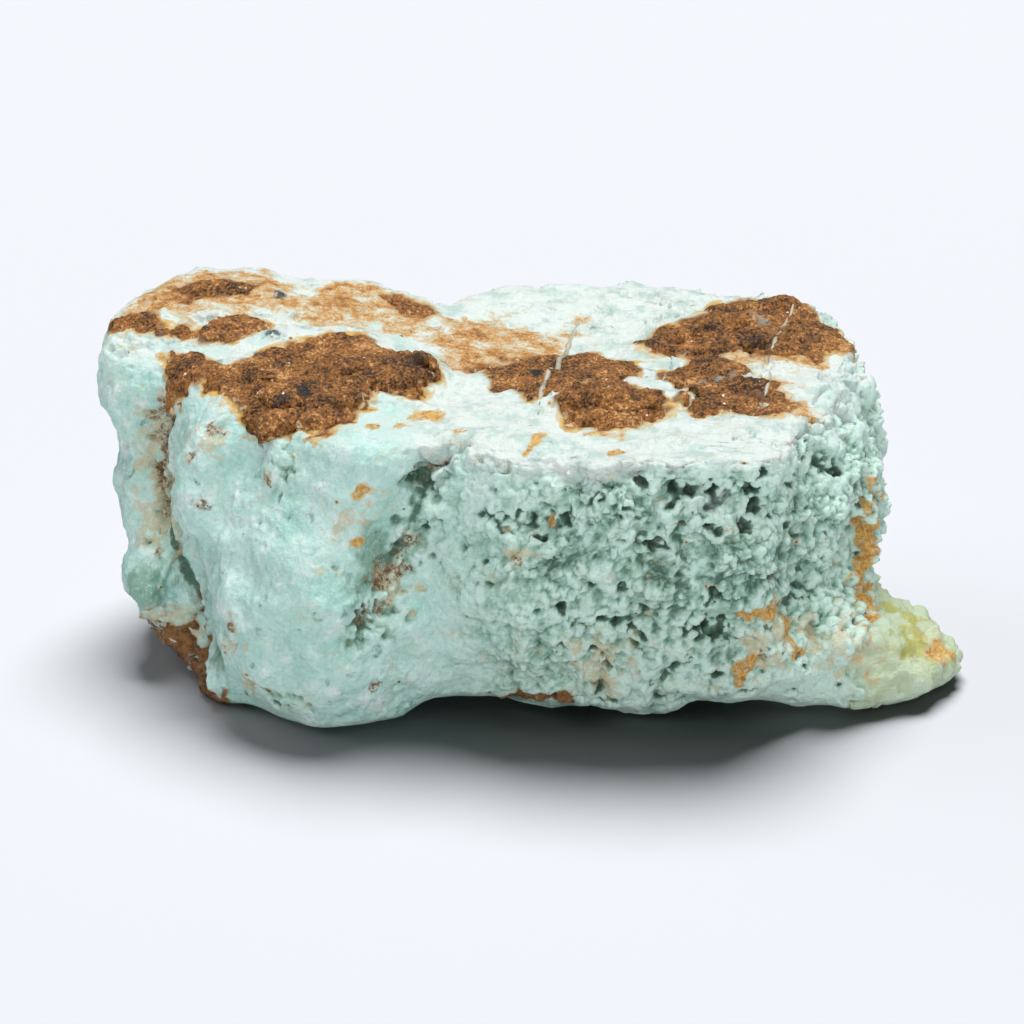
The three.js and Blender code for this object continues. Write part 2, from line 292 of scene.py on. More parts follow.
# Patches of crust, outlined as seen from above.
CRUSTS = (
    Patch(((-36.8, 1.6), (-37.0, -3.6), (-34.8, -4.4), (-33.0, -4.6), (-30.8, -8.0), (-28.4, -11.2),
           (-26.0, -13.8), (-21.2, -14.6), (-18.6, -13.6), (-16.4, -10.6), (-15.6, -8.2), (-11.2, -8.2),
           (-9.8, -6.0), (-9.6, -3.0), (-8.6, -0.2), (-12.9, 1.6), (-16.1, 3.1), (-19.1, 4.2),
           (-23.3, 2.6), (-25.7, 0.6), (-29.5, -1.0), (-30.8, -2.4), (-33.7, 0.3)), 0.55),
    Patch(((-43.5, 7.4), (-42.0, 8.6), (-38.3, 8.0), (-37.6, 5.8), (-41.1, 5.2)), 0.05),
    Patch(((-38.4, 4.8), (-35.8, 6.0), (-31.9, 6.5), (-29.9, 7.3), (-27.6, 6.6), (-28.3, 4.0),
           (-30.7, 2.9), (-33.9, 3.0), (-36.1, 4.1)), 0.1),
    Patch(((-37.9, 13.0), (-34.2, 13.8), (-31.8, 14.6), (-28.8, 13.0), (-32.1, 10.6), (-35.4, 9.9)), 0.0),
    Patch(((-15.2, 14.6), (-11.5, 15.4), (-9.5, 14.4), (-10.4, 12.2), (-12.7, 11.6)), 0.0),
    Patch(((-6.0, 1.2), (-4.7, 3.2), (-1.2, 4.4), (2.6, 6.7), (6.1, 6.4), (9.5, 4.0), (12.0, 1.6),
           (9.9, -4.2), (11.1, -6.8), (14.4, -6.6), (14.0, -10.3), (11.4, -11.4), (11.3, -13.4),
           (7.4, -14.5), (4.6, -13.0), (3.4, -10.6), (2.1, -8.6), (-0.3, -8.7), (-0.9, -5.3),
           (-3.7, -3.6)), 0.12),
    Patch(((12.9, 0.9), (15.0, 2.1), (18.0, 4.4), (21.7, 3.0), (23.4, 1.2), (25.4, -3.4), (27.0, -8.6),
           (25.0, -11.8), (22.1, -10.4), (18.2, -10.6), (15.8, -9.4), (14.9, -6.8), (13.2, -4.2)), 0.12),
    Patch(((10.4, 8.6), (13.2, 10.9), (16.2, 11.6), (18.2, 13.0), (18.9, 17.2), (24.8, 18.0),
           (28.6, 16.9), (32.0, 12.5), (33.4, 6.6), (30.5, 4.6), (27.6, 4.9), (24.6, 3.8), (18.9, 5.1),
           (13.1, 6.2)), 0.12),
    Patch(((-22.0, -17.0), (-19.0, -16.9), (-18.8, -15.6), (-20.4, -14.9)), 0.05),
)
# Streaks of bare stone across the crust, as seen from above.
CRUST_BREAKS = (
    Mark(((2.1, -8.0), (4.6, -6.6), (7.0, -5.9), (9.6, -6.6)), 0.9),
    Mark(((9.9, -3.5), (11.9, -2.2), (13.8, -4.1), (14.2, -7.0)), 1.0),
    Mark(((15.6, -6.0), (18.5, -2.4), (20.6, -1.9), (23.0, -0.6)), 0.8),
    Mark(((12.0, 2.6), (13.0, -0.6)), 0.8), Mark(((-9.8, -4.4), (-12.6, -3.4)), 0.45),
    Mark(((20.8, -5.6), (24.4, -7.6)), 0.6),
    *spots((17.0, -7.4, 1.2), (24.2, 12.0, 0.9), flat=True),
)
# Lumps that stand out of the crust, and cracks in it, as seen from above.
CRUST_LUMPS = (
    Mark(((5.6, -10.6), (9.4, -10.0)), 3.6, -0.7),
    Mark(((-24.0, -9.5), (-20.0, -10.5), (-15.0, -5.0)), 5.0, -0.7),
    Mark(((-25.0, -8.0), (-21.0, -4.2)), 1.2, 1.1), Mark(((-20.8, -8.6), (-17.6, -5.4)), 0.9, 0.8),
    Mark(((-31.0, -4.4), (-28.0, -8.4)), 1.4, 0.4), Mark(((14.6, 1.1), (16.4, 1.0)), 0.8, 0.5),
    *spots((12.6, -8.6, 2.2, -0.5), flat=True),
)
# Black manganese on the upper face, as seen from above.
BLACK_MARKS = (
    *spots(
        (-25.5, -2.6, 1.1), (-24.3, -7.0, 0.9), (-24.7, -11.0, 1.1), (-20.5, -8.8, 0.8),
        (-14.2, -4.7, 1.1), (-21.7, -2.9, 0.7), (-27.6, 0.1, 1.0), (0.8, -2.4, 0.9), (-26.4, 3.9, 1.2),
        (-26.0, 11.9, 1.1), (-18.4, -4.0, 0.6), (-22.6, -10.6, 0.9), (-27.2, -8.4, 0.8),
        (-10.8, -1.6, 0.6), (-33.4, 4.6, 0.7), flat=True,
    ),
)
# Grey streaks of the upper face, as seen from above.
SLATE_MARKS = (
    Mark(((2.0, -7.7), (4.4, -6.6), (7.0, -5.9), (10.8, -7.0)), 0.9),
    Mark(((9.9, -3.5), (11.7, -2.3), (13.6, -4.1)), 0.8),
    Mark(((16.1, -5.1), (18.5, -2.4), (22.6, -0.4)), 0.8),
    Mark(((-22.7, 5.4), (-20.1, 7.0), (-14.9, 4.9)), 1.0), Mark(((-38.6, 4.4), (-34.8, 2.8)), 0.8),
    Mark(((-26.9, 4.6), (-26.0, 2.4)), 1.0), Mark(((23.6, 12.8), (25.0, 11.1)), 0.9),
    *spots((-28.6, 8.6, 1.3), (-26.0, 12.0, 1.3), (24.8, -8.0, 1.2), flat=True),
)

# Iron stains between the patches of crust, outlined as seen from above.
STAINS = (
    Patch(((-26.4, 8.6), (-25.7, 11.1), (-23.3, 13.6), (-20.5, 16.6), (-16.5, 16.0), (-10.4, 15.0),
           (-9.2, 8.6), (-13.8, 7.6), (-19.2, 8.6), (-24.0, 7.6))),
    Patch(((-10.3, 9.6), (-6.6, 14.4), (-3.0, 14.6), (1.4, 11.4), (4.4, 8.6), (3.0, 5.0), (-1.5, 2.4),
           (-5.3, 0.5), (-9.6, -1.0), (-9.2, 4.0))),
    Patch(((-44.0, 6.0), (-41.0, 13.0), (-34.0, 16.5), (-27.0, 17.0), (-25.0, 9.0), (-36.0, 7.4))),
    Patch(((5.0, 14.8), (1.6, 11.8), (3.0, 10.6), (6.1, 13.6))),
    Patch(((13.0, 8.0), (22.0, 4.4), (30.0, 5.6), (30.0, 3.0), (24.0, 1.6), (14.0, 4.2))),
    Patch(((24.0, 0.8), (28.0, -6.0), (28.4, -10.0), (26.0, -10.0), (24.6, -4.0))),
)

# Edges on the front, from the left end to the right half.
LEDGES = (
    Ledge(((-32.8, 2.0), (-33.2, 5.4), (-34.4, 9.0), (-35.9, 12.5), (-36.8, 14.7), (-37.2, 17.6),
           (-37.1, 24.6), (-36.0, 27.0)), 1.8, 6.5),
    Ledge(((-15.8, 11.0), (-12.9, 18.1), (-11.4, 21.1), (-9.9, 25.3), (-8.7, 29.0)), 1.0, 4.5),
    Ledge(((-31.0, 6.0), (-31.4, 12.0), (-31.4, 17.5), (-29.6, 22.6), (-26.4, 26.4)), 0.5, 4.0),
    Ledge(((12.0, 3.0), (13.6, 11.0), (14.8, 19.4), (13.0, 28.0)), -1.0, 3.0),
)

# Furrows, and one swelling at the left end.
FURROWS = (
    Mark(((-9.2, -19.0, 28.4), (-10.6, -19.2, 25.4)), 1.9, 1.7),
    Mark(((-36.7, -6.6, 13.4), (-35.1, -7.5, 9.9), (-34.4, -9.5, 7.4)), 1.2, 0.9),
    Mark(((-37.4, -4.0, 26.0), (-37.9, -4.4, 18.0)), 1.0, 0.6),
    *spots((-39.0, -8.0, 9.4, 3.8, -1.3)),
)

# Painted shade: hollows and shadow sides of the front, made darker and greener as shade lies in them; at
# the swelling of the left end it also gives that lump its greyer green.
PAINTED_SHADE_MARKS = (
    Mark(((14.0, -24.0, 18.0), (17.0, -24.0, 14.0), (18.5, -24.0, 9.0)), 7.0),
    Mark(((-15.0, -20.6, 20.5), (-17.0, -21.6, 15.0), (-18.0, -22.0, 11.0)), 3.4),
    Mark(((-33.4, -13.0, 8.5), (-31.8, -17.0, 5.0)), 2.2),
    Mark(((-24.0, -18.6, 18.0), (-25.6, -19.6, 12.0)), 1.6),
    *spots((-39.0, -8.0, 9.4, 3.4), (-34.6, -10.5, 17.5, 2.6)),
)

# Knobby streaks across the lobes.
ROUGH_MARKS = (
    Mark(((-9.0, -18.8, 28.0), (-11.0, -20.0, 21.5), (-13.2, -21.0, 16.6),
          (-15.6, -22.3, 12.4)), 2.6, 0.5),
    Mark(((-38.6, -3.2, 25.5), (-39.2, -4.0, 19.5), (-38.6, -5.2, 15.0)), 2.0, 0.3),
    Mark(((-28.0, -22.2, 5.0), (-24.0, -23.2, 3.6)), 2.0, 0.1),
    *spots((-24.6, -17.0, 26.6, 1.6, 0.1)),
)

# Pits, most of them among the round grains.
PITS = (
    Mark(((14.4, -23.4, 26.0), (16.6, -22.8, 26.9), (18.8, -22.8, 26.4)), 1.5, 1.8),
    Mark(((22.1, -22.0, 26.6), (21.8, -22.3, 23.8)), 1.1, 1.8),
    Mark(((25.7, -18.8, 26.6), (26.0, -18.6, 24.4)), 1.1, 1.4),
    Mark(((16.8, -22.6, 12.2), (19.4, -22.2, 11.4)), 1.7, 2.0),
    Mark(((11.2, -23.4, 22.4), (13.6, -23.4, 21.0)), 1.3, 1.3),
    Mark(((-2.4, -23.2, 22.8), (-0.8, -22.9, 23.7), (1.4, -23.0, 23.2)), 1.1, 1.0),
    Mark(((0.2, -24.8, 19.2), (2.4, -24.8, 19.6)), 0.8, 0.8),
    Mark(((-6.0, -24.4, 17.6), (-4.2, -24.6, 17.0)), 1.0, 0.9),
    Mark(((-5.6, -24.4, 13.6), (-4.4, -24.6, 14.8)), 0.9, 0.8),
    *spots(
        (10.7, -23.2, 28.2, 1.2, 1.5), (8.6, -24.6, 25.0, 1.2, 1.1), (-3.6, -22.3, 26.5, 0.7, 0.6),
        (-2.0, -22.8, 26.9, 0.6, 0.5), (5.8, -24.9, 26.2, 0.8, 0.8), (28.4, -14.6, 18.0, 1.4, 1.2),
        (31.6, -9.6, 20.5, 1.4, 1.2), (27.2, -17.0, 14.2, 1.2, 1.2), (19.6, -23.4, 19.6, 1.2, 1.1),
        (15.0, -23.8, 17.0, 1.1, 1.0), (29.2, -12.0, 25.0, 1.5, 1.2), (12.4, -23.6, 6.6, 1.2, 0.9),
        (-26.6, -22.6, 4.6, 1.0, 0.7), (20.4, -22.6, 15.6, 1.2, 1.0),
    ),
)

# Ochre rust.
RUST_MARKS = (
    Mark(((20.4, -23.4, 13.3), (22.8, -23.7, 13.9), (24.6, -22.0, 13.0)), 0.9),
    Mark(((25.3, -20.8, 12.2), (26.0, -20.6, 10.6), (26.6, -20.8, 8.3)), 1.2),
    Mark(((21.4, -24.0, 8.6), (21.0, -23.7, 6.4)), 1.1),
    Mark(((34.4, -8.0, 19.0), (34.0, -9.2, 16.4), (34.6, -9.8, 14.2), (34.4, -11.1, 9.3)), 2.3),
    Mark(((34.6, -12.0, 9.0), (32.5, -16.4, 7.6)), 1.5),
    Mark(((-11.0, -11.9, 29.8), (-8.6, -11.3, 29.8)), 1.1),
    Mark(((1.0, -18.0, 30.0), (-0.4, -20.9, 29.8)), 0.5),
    Mark(((-8.4, -15.4, 30.0), (-6.6, -16.2, 30.0), (-7.6, -17.4, 30.0)), 0.6),
    Mark(((4.0, -14.6, 30.0), (9.0, -15.6, 30.0)), 0.7),
    Mark(((-26.2, -13.6, 29.4), (-22.0, -15.2, 29.8), (-18.0, -14.6, 30.0)), 0.8),
    *spots(
        (33.0, -18.0, 4.4, 1.6), (22.6, -22.6, 22.2, 0.8), (42.0, -13.1, 4.8, 2.0),
        (-17.8, -11.5, 30.5, 0.8), (-15.7, -15.0, 30.0, 0.9), (1.0, -17.8, 30.1, 0.9),
        (2.0, -23.0, 23.2, 0.6), (-16.5, -20.7, 25.3, 1.0), (-16.9, -21.4, 20.6, 0.8),
        (8.4, -20.0, 29.6, 1.2), (-12.8, -14.4, 30.0, 0.9),
    ),
)

# Brown earth in pores and hollows.
EARTH_MARKS = (
    Mark(((-38.4, -3.0, 26.0), (-38.4, -3.6, 21.0)), 2.6),
    Mark(((-14.4, -21.7, 15.6), (-12.6, -20.4, 17.2)), 1.5),
    Mark(((-16.4, -22.8, 12.4), (-14.8, -22.4, 14.4)), 1.6),
    Mark(((-8.6, -18.6, 28.4), (-10.0, -19.2, 26.6)), 0.9),
    *spots(
        (-39.1, -3.4, 18.8, 1.4), (-38.4, -4.1, 16.4, 1.2), (-38.5, -6.3, 12.8, 1.5),
        (-31.9, -11.9, 28.5, 1.3), (-33.3, -12.8, 26.5, 1.2), (-32.6, -14.6, 21.5, 0.8),
        (-25.8, -16.6, 24.8, 0.9), (-11.9, -20.0, 20.0, 1.1), (-12.8, -20.6, 18.4, 1.0),
        (-29.9, -21.1, 10.7, 0.9), (-29.0, -21.3, 9.0, 1.0), (-27.0, -22.4, 4.6, 1.2),
        (-30.6, -20.6, 7.0, 0.8), (-15.4, -23.4, 5.6, 0.9), (-1.2, -24.4, 20.0, 0.9),
        (-34.6, -8.6, 8.8, 1.0), (9.9, -24.4, 15.5, 0.6), (-36.6, -9.4, 3.4, 1.2),
        (17.0, -22.8, 27.0, 0.7),
    ),
)

# Faint cream stains.
TAN_MARKS = (
    Mark(((-37.2, -4.2, 24.5), (-37.5, -4.8, 17.6), (-36.2, -7.0, 12.5)), 1.1),
    Mark(((-35.4, -8.6, 5.0), (-33.2, -12.5, 4.0), (-32.6, -17.2, 1.6), (-29.0, -20.5, 1.0)), 1.6),
    Mark(((-39.8, -2.8, 25.5), (-39.4, -3.6, 15.0)), 3.2),
    Mark(((-38.0, -8.0, 5.5), (-34.5, -10.0, 4.5)), 2.4),
    Mark(((28.0, -19.4, 10.0), (31.0, -18.0, 6.0)), 1.8),
    *spots(
        (-39.4, -5.0, 14.0, 2.6), (-38.4, -2.4, 28.4, 1.6), (-1.0, -24.6, 20.6, 2.4),
        (-17.5, -20.8, 22.5, 1.8), (23.0, -23.0, 8.5, 3.6), (31.0, -17.5, 7.0, 4.0),
        (-29.6, -20.6, 10.0, 2.2), (-20.5, -22.0, 17.0, 1.6), (-32.4, -12.6, 27.6, 2.4),
        (-28.0, -22.0, 4.6, 2.4), (-16.2, -20.8, 25.2, 1.8), (7.0, -23.4, 8.0, 4.5),
        (24.6, -21.4, 11.0, 3.4), (-13.8, -21.0, 15.6, 2.6), (-25.4, -16.4, 25.0, 1.5),
    ),
)

# The yellow-green of the foot.
PRASE_MARKS = (
    Mark(((36.2, -14.0, 5.0), (39.6, -13.4, 4.6)), 3.4),
    Mark(((35.0, -9.0, 6.4), (39.0, -9.6, 6.2)), 2.4),
    *spots((42.4, -12.6, 4.0, 2.2)),
)

# Brown limonite under the stone.
LIMONITE_MARKS = (
    Mark(((-42.0, 6.0, 2.0), (-38.5, -4.0, 2.0), (-35.4, -12.0, 2.4), (-32.6, -16.5, 0.4)), 3.2),
    Mark(((-2.8, -20.4, 2.2), (0.4, -21.6, 2.6), (3.4, -22.3, 3.0)), 1.5),
    Mark(((-30.0, -10.0, 0.0), (-10.0, 4.0, 0.0), (20.0, 2.0, 0.0)), 9.0),
)

# Veinlets, seen from above; their height follows the stone's.
VEINLETS = (
    Mark(((0.8, -10.6, 30.0), (1.3, -6.2, 30.0), (1.9, -2.8, 30.0), (2.8, 1.6, 30.0), (3.6, 7.0, 30.0),
          (4.6, 11.2, 30.0), (5.8, 17.0, 30.0)), 0.36),
    Mark(((22.3, -10.4, 30.0), (23.6, -6.2, 30.0), (24.5, -3.0, 30.0), (25.1, 3.6, 30.0),
          (25.8, 7.2, 30.0), (26.8, 10.7, 30.0), (28.0, 14.6, 30.0), (28.4, 17.4, 30.0)), 0.26),
)


def ragged_edge(points: np.ndarray) -> np.ndarray:
    """The fraying that all of the outlines on the upper face share, about -1 to 1."""
    return lumps(points, 2.6, 1, 4)


def crust_reach(points: np.ndarray) -> np.ndarray:
    """How far inside the nearest crust each point lies, in millimetres; negative outside."""
    fine = lumps(points * (0.6, 1.0, 1.0), 1.0, 32, 3)
    reach = np.max([patch.inside(points) for patch in CRUSTS], axis=0)
    reach += 1.15 * ragged_edge(points) + 0.6 * fine
    reach -= 2.2 * strongest(CRUST_BREAKS, points, 0.6 * fine)
    return np.where(points[:, 2] > CRUST_FLOOR, reach, FAR_OUTSIDE)


# ---- Meshes ----


class Skin:
    """A mesh's points and normals as arrays, in millimetres, with averages over neighbours."""

    def __init__(self, mesh: bpy.types.Mesh) -> None:
        """Reads a mesh.

        Args:
            mesh: The mesh, in metres.
        """
        self.mesh = mesh
        self.count = len(mesh.vertices)
        flat = np.zeros(self.count * 3, np.float32)
        mesh.vertices.foreach_get("co", flat)
        self.points = flat.reshape(-1, 3).astype(float) / MM
        mesh.vertex_normals.foreach_get("vector", flat)
        self.normals = flat.reshape(-1, 3).astype(float)
        links = np.zeros(len(mesh.edges) * 2, np.int32)
        mesh.edges.foreach_get("vertices", links)
        self.links = links.reshape(-1, 2)
        self.degree = np.bincount(self.links.ravel(), minlength=self.count)

    def averaged(self, values: np.ndarray, rounds: int) -> np.ndarray:
        """Averages a value over each point's neighbours, over and over.

        Args:
            values: One number or one row of numbers a point.
            rounds: How many times.

        Returns:
            The averaged values, in the same shape.
        """
        columns = values.reshape(self.count, -1).astype(float)
        start, end = self.links.T
        for _ in range(rounds):
            sums = [
                np.bincount(start, column[end], self.count) + np.bincount(end, column[start], self.count)
                for column in columns.T
            ]
            columns = (columns + np.stack(sums, 1) / self.degree[:, None]) / 2
        return columns.reshape(values.shape)

    def broad_normals(self, rounds: int) -> np.ndarray:
        """Normals averaged over their neighbours, so that relief on them doesn't fold."""
        normals = self.averaged(self.normals, rounds)
        return normals / np.linalg.norm(normals, axis=1)[:, None]

    def move_to(self, points: np.ndarray) -> None:
        """Moves the mesh's points to new places in millimetres, one a row."""
        self.points = points
        self.mesh.vertices.foreach_set("co", (points * MM).astype(np.float32).ravel())
        self.mesh.update()

    def store(self, name: str, values: np.ndarray) -> None:
        """Keeps one number a point on the mesh under a name, for its material."""
        attribute = self.mesh.attributes.new(name, "FLOAT", "POINT")
        attribute.data.foreach_set("value", values.astype(np.float32))


def new_piece(name: str, mesh: bpy.types.Mesh) -> bpy.types.Object:
    """Puts a mesh in the scene as an object of that name at the origin."""
    piece = bpy.data.objects.new(name, mesh)
    bpy.context.scene.collection.objects.link(piece)
    return piece


def ended(form: bmesh.types.BMesh, name: str) -> bpy.types.Mesh:
    """Ends work on a mesh in progress.

    Args:
        form: The mesh in progress, which is freed.
        name: The new mesh's name.

    Returns:
        The new mesh.
    """
    mesh = bpy.data.meshes.new(name)
    form.to_mesh(mesh)
    form.free()
    return mesh


def trimmed(mesh: bpy.types.Mesh, kept: np.ndarray) -> bmesh.types.BMesh:
    """A copy of a mesh without some of its points.

    Args:
        mesh: The mesh.
        kept: Whether each point is kept.

    Returns:
        The copy, as a mesh in progress.
    """
    form = bmesh.new()
    form.from_mesh(mesh)
    form.verts.ensure_lookup_table()
    bare = [vert for vert, keeps in zip(form.verts, kept.tolist()) if not keeps]
    bmesh.ops.delete(form, geom=bare, context="VERTS")
    return form


def applied(piece: bpy.types.Object) -> bpy.types.Mesh:
    """A new mesh: the piece's own, with its modifiers applied."""
    graph = bpy.context.evaluated_depsgraph_get()
    return bpy.data.meshes.new_from_object(piece.evaluated_get(graph), depsgraph=graph)


def smooth_shaded(mesh: bpy.types.Mesh) -> bpy.types.Mesh:
    """Turns smooth shading on for the whole mesh."""
    mesh.polygons.foreach_set("use_smooth", [True] * len(mesh.polygons))
    return mesh


def closed_shell(mesh: bpy.types.Mesh, inwards: np.ndarray) -> None:
    """Gives an open surface its thickness, and drops the points that trimming left without a face.

    Args:
        mesh: The outer side, which becomes a closed shell.
        inwards: From each of its points to the one behind it, in millimetres, one a row.
    """
    form = bmesh.new()
    form.from_mesh(mesh)
    inner = form.verts[:]
    bmesh.ops.extrude_face_region(form, geom=form.faces[:])
    for vert, step in zip(inner, inwards.tolist()):
        vert.co += Vector(step) * MM
    stray = [vert for vert in form.verts if not vert.link_faces]
    bmesh.ops.delete(form, geom=stray, context="VERTS")
    bmesh.ops.recalc_face_normals(form, faces=form.faces)
    form.to_mesh(mesh)
    form.free()


class Limit(Enum):
    """Where one kind of surface gives way to another: none of it at the first number, all at the second.

    RISE and START are along Z and X in millimetres, TILT is how far a normal points up or to the front,
    and SHARE is a share from 0 to 1.
    """

    UPPER_TILT = (0.7, 0.95)
    UPPER_RISE = (25.5, 27.5)
    UNDER_RISE = (1.8, 0.4)
    UNDER_TILT = (-0.35, -0.7)
    FOOT_START = (30.5, 35.5)
    FOOT_RISE = (10.5, 7.0)
    FOOT_RIM_RISE = (1.0, 3.6)
    SHELL_START = (0.0, 13.0)
    GRAINS_START = (-9.0, 6.0)
    PITS_START = (-13.0, -7.0)
    CHALK_TILT = (0.0, 0.9)
    SMOOTH_RISE = (9.0, 4.0)
    SMOOTH_START = (16.0, 24.0)
    MARKED_RISE = (25.5, 28.0)
    SHELL_SHARE = (0.3, 0.6)
    STONE_SHARE = (0.6, 0.3)
    FRONT_TILT = (-0.45, -0.05)

    def share(self, values: np.ndarray) -> np.ndarray:
        """How much of that surface there is, from 0 to 1."""
        return smoothstep(values, *self.value)


@dataclass
class Zones:
    """How much each point belongs to each kind of surface, from 0 to 1.

    Attributes:
        upper: The flat upper face.
        under: The underside.
        foot: The low foot at the right end.
        shelled: What the shells of round grains cover.
        grainy: The right half, with its round grains.
        pitted: The strip between the grains and the lobes.
        lobed: The waxy lobes of the left half.
        chalky: The weathered white skin.
    """

    upper: np.ndarray
    under: np.ndarray
    foot: np.ndarray
    shelled: np.ndarray
    grainy: np.ndarray
    pitted: np.ndarray
    lobed: np.ndarray
    chalky: np.ndarray

    @classmethod
    def of(cls, points: np.ndarray, normals: np.ndarray) -> "Zones":
        """Works out the zones of the stone's surface.

        Args:
            points: The plain form's points in millimetres, one a row.
            normals: Its broad normals.

        Returns:
            The zones.
        """
        x, _, z = points.T
        up = normals[:, 2]
        ragged = ragged_edge(points)
        across = x + 3.0 * ragged
        rise = z + 2.0 * ragged
        upper = Limit.UPPER_TILT.share(up + 0.35 * ragged) * Limit.UPPER_RISE.share(z)
        under = np.maximum(Limit.UNDER_RISE.share(z), Limit.UNDER_TILT.share(up))
        foot = Limit.FOOT_START.share(x + 4.0 * ragged) * Limit.FOOT_RISE.share(rise)
        foot *= 0.6 + 0.4 * Limit.FOOT_RIM_RISE.share(rise)
        front = (1 - upper) * (1 - foot)
        shelled = Limit.SHELL_START.share(across) * front
        grainy = Limit.GRAINS_START.share(across) * front
        pitted = Limit.PITS_START.share(across) * front * (1 - grainy)
        lobed = front * (1 - grainy) * (1 - pitted)
        chalk_start = 24.0 + 3.5 * smoothstep(x, -9.0, -14.0)
        chalky = smoothstep(rise, chalk_start, chalk_start + 5.5)
        chalky *= Limit.CHALK_TILT.share(up + 0.4 * ragged)
        return cls(upper, under, foot, shelled, grainy, pitted, lobed, chalky)


@dataclass
class Relief:
    """The stone's fine surface: heights over its plain form, and what its material reads.

    Attributes:
        skin: The mesh as arrays, in its plain form.
        grain: Width of a round grain, in millimetres.
        bead: Width of the beads that the grains carry.
        clump: Width of the clumps that the grains form.
        opening: Width of the holes between the clumps.
        dome: Height of a grain over the gap round it.
        proud: By how much a grain may stand higher than others.
        highest: Height at which the grains stop, so that none leaves the solid's form by far.
        deepest: Depth of a hole at the gap between two grains.
        swell: Width of the lobes' broad swells.
        chip: Width of the chips on the lobes.
        flake: Thickness of a flake of the upper face.
        shade: Depth below the mean of what lies round it at which a hollow gets the full painted shade of a
            gap.
    """

    skin: Skin
    grain: float = 1.12
    bead: float = 0.55
    clump: float = 3.0
    opening: float = 2.5
    dome: float = 0.34
    proud: float = 0.3
    highest: float = 0.9
    deepest: float = 1.3
    swell: float = 7.5
    chip: float = 3.4
    flake: float = 0.17
    shade: float = 0.55

    def __post_init__(self) -> None:
        """Works out the relief."""
        self.points = self.skin.points
        self.normals = self.skin.broad_normals(4)
        self.zones = zones = Zones.of(self.points, self.normals)
        self.fray = lumps(self.points, 1.6, 20, 3)
        self.rough, sunk = self._roughened()
        x, _, z = self.points.T
        smoother = 1.0 - 0.7 * Limit.SMOOTH_RISE.share(z) * Limit.SMOOTH_START.share(x)
        self.knobby = (zones.grainy + 0.5 * zones.pitted + 0.7 * self.rough) * smoother
        self.knobby += 0.75 * zones.foot
        nodules = self._nodules()
        self.height = nodules + zones.lobed * self._lobes() + zones.upper * self._flakes() - sunk
        # Painted shade: the knobby streaks across the lobes get the darker, greener colour of gaps.
        self.gap += 0.35 * self.rough
        self._cut_edges()
        self.limonite = strongest(LIMONITE_MARKS, self.points, 1.5 * self.fray)
        self.height += self.limonite * (0.9 * lumps(self.points, 1.7, 41, 3) + 0.4 * self.fray)
        self.height *= 1 - 0.8 * zones.under * (1 - 0.8 * self.limonite)
        # Painted shade: the lower a point lies below what lies round it, the darker and greener its colour.
        hollow = self.skin.averaged(self.height, 16) - self.height
        self.gap += np.clip(hollow / self.shade, -0.5, 0.7) * np.minimum(1.0, self.knobby)

    def _roughened(self) -> tuple[np.ndarray, np.ndarray]:
        """The knobby streaks across the lobes.

        Returns:
            How rough each point is, from 0 to 1, and how deep it lies for that, in millimetres.
        """
        rough = np.zeros(self.skin.count)
        sunk = np.zeros(self.skin.count)
        for mark in ROUGH_MARKS:
            share = mark.share(self.points, 2.0 * self.fray)
            rough = np.maximum(rough, share * self.zones.lobed)
            sunk += mark.depth * share
        return rough, sunk

    def _cut_edges(self) -> None:
        """Steps the front down along its ledges and cuts the furrows."""
        for ledge in LEDGES:
            low, rim, crevice = ledge.shares(self.points, self.fray)
            self.height -= ledge.drop * low
            # The ledge's rim becomes a crest, which the material makes a little paler; where the left side
            # lies lower, the crevice below the rim gets painted shade.
            self.crest = np.maximum(self.crest, rim)
            self.pit = np.maximum(self.pit, 0.55 * ledge.drop * crevice)
        for mark in FURROWS:
            share = mark.share(self.points, self.fray)
            self.height -= mark.depth * share
            # Painted shade along the furrow.
            self.pit = np.maximum(self.pit, 0.45 * mark.depth * share)

    def _bent(self, by: float, size: float, first_seed: int) -> np.ndarray:
        """The points pushed about, so that no pattern on them runs straight.

        Args:
            by: How far, in millimetres.
            size: Width of the pushes, in millimetres.
            first_seed: The pattern of the first of the three axes; the others follow it.

        Returns:
            Points in millimetres, one a row.
        """
        pushes = [lumps(self.points, size, first_seed + axis, 2) for axis in range(3)]
        return self.points + by * np.stack(pushes, 1)

    def _nodules(self) -> np.ndarray:
        """Round grains that have grown together, in three sizes, with holes between them.

        Returns:
            Height at each point, in millimetres.
        """
        points = self.points
        bent = self._bent(0.34, 0.85, 35)
        near, second, centres = cells(bent, self.grain, 10)
        dome = np.clip(1.0 - (near / 0.8) ** 2, 0.0, 1.0) * smoothstep(second - near, -0.12, 0.25)
        proud = scattered(np.floor(centres * 8.0), 38)[:, 0] - 0.5
        small, _, _ = cells(bent, self.bead, 39)
        bead = np.clip(1.0 - (small / 0.7) ** 2, 0.0, 1.0)
        clump = lumps(points, self.clump, 19, 2)
        broad = lumps(points * (1.0, 1.0, 0.6), 7.0, 44)
        hole = self._holes()
        away = bent - centres
        away -= (away * self.normals).sum(1)[:, None] * self.normals
        bulge = 0.25 * smoothstep(near, 0.05, 0.3) * smoothstep(near, 0.6, 0.4)
        self.slide = away * (bulge * self.knobby)[:, None]
        # Painted shade: pit is how dark the holes and pits are painted, lighter where a grain's dome rises
        # in them.
        self.pit = hole * (1.15 - 0.75 * dome)
        shaded = strongest(PAINTED_SHADE_MARKS, points, self.fray)
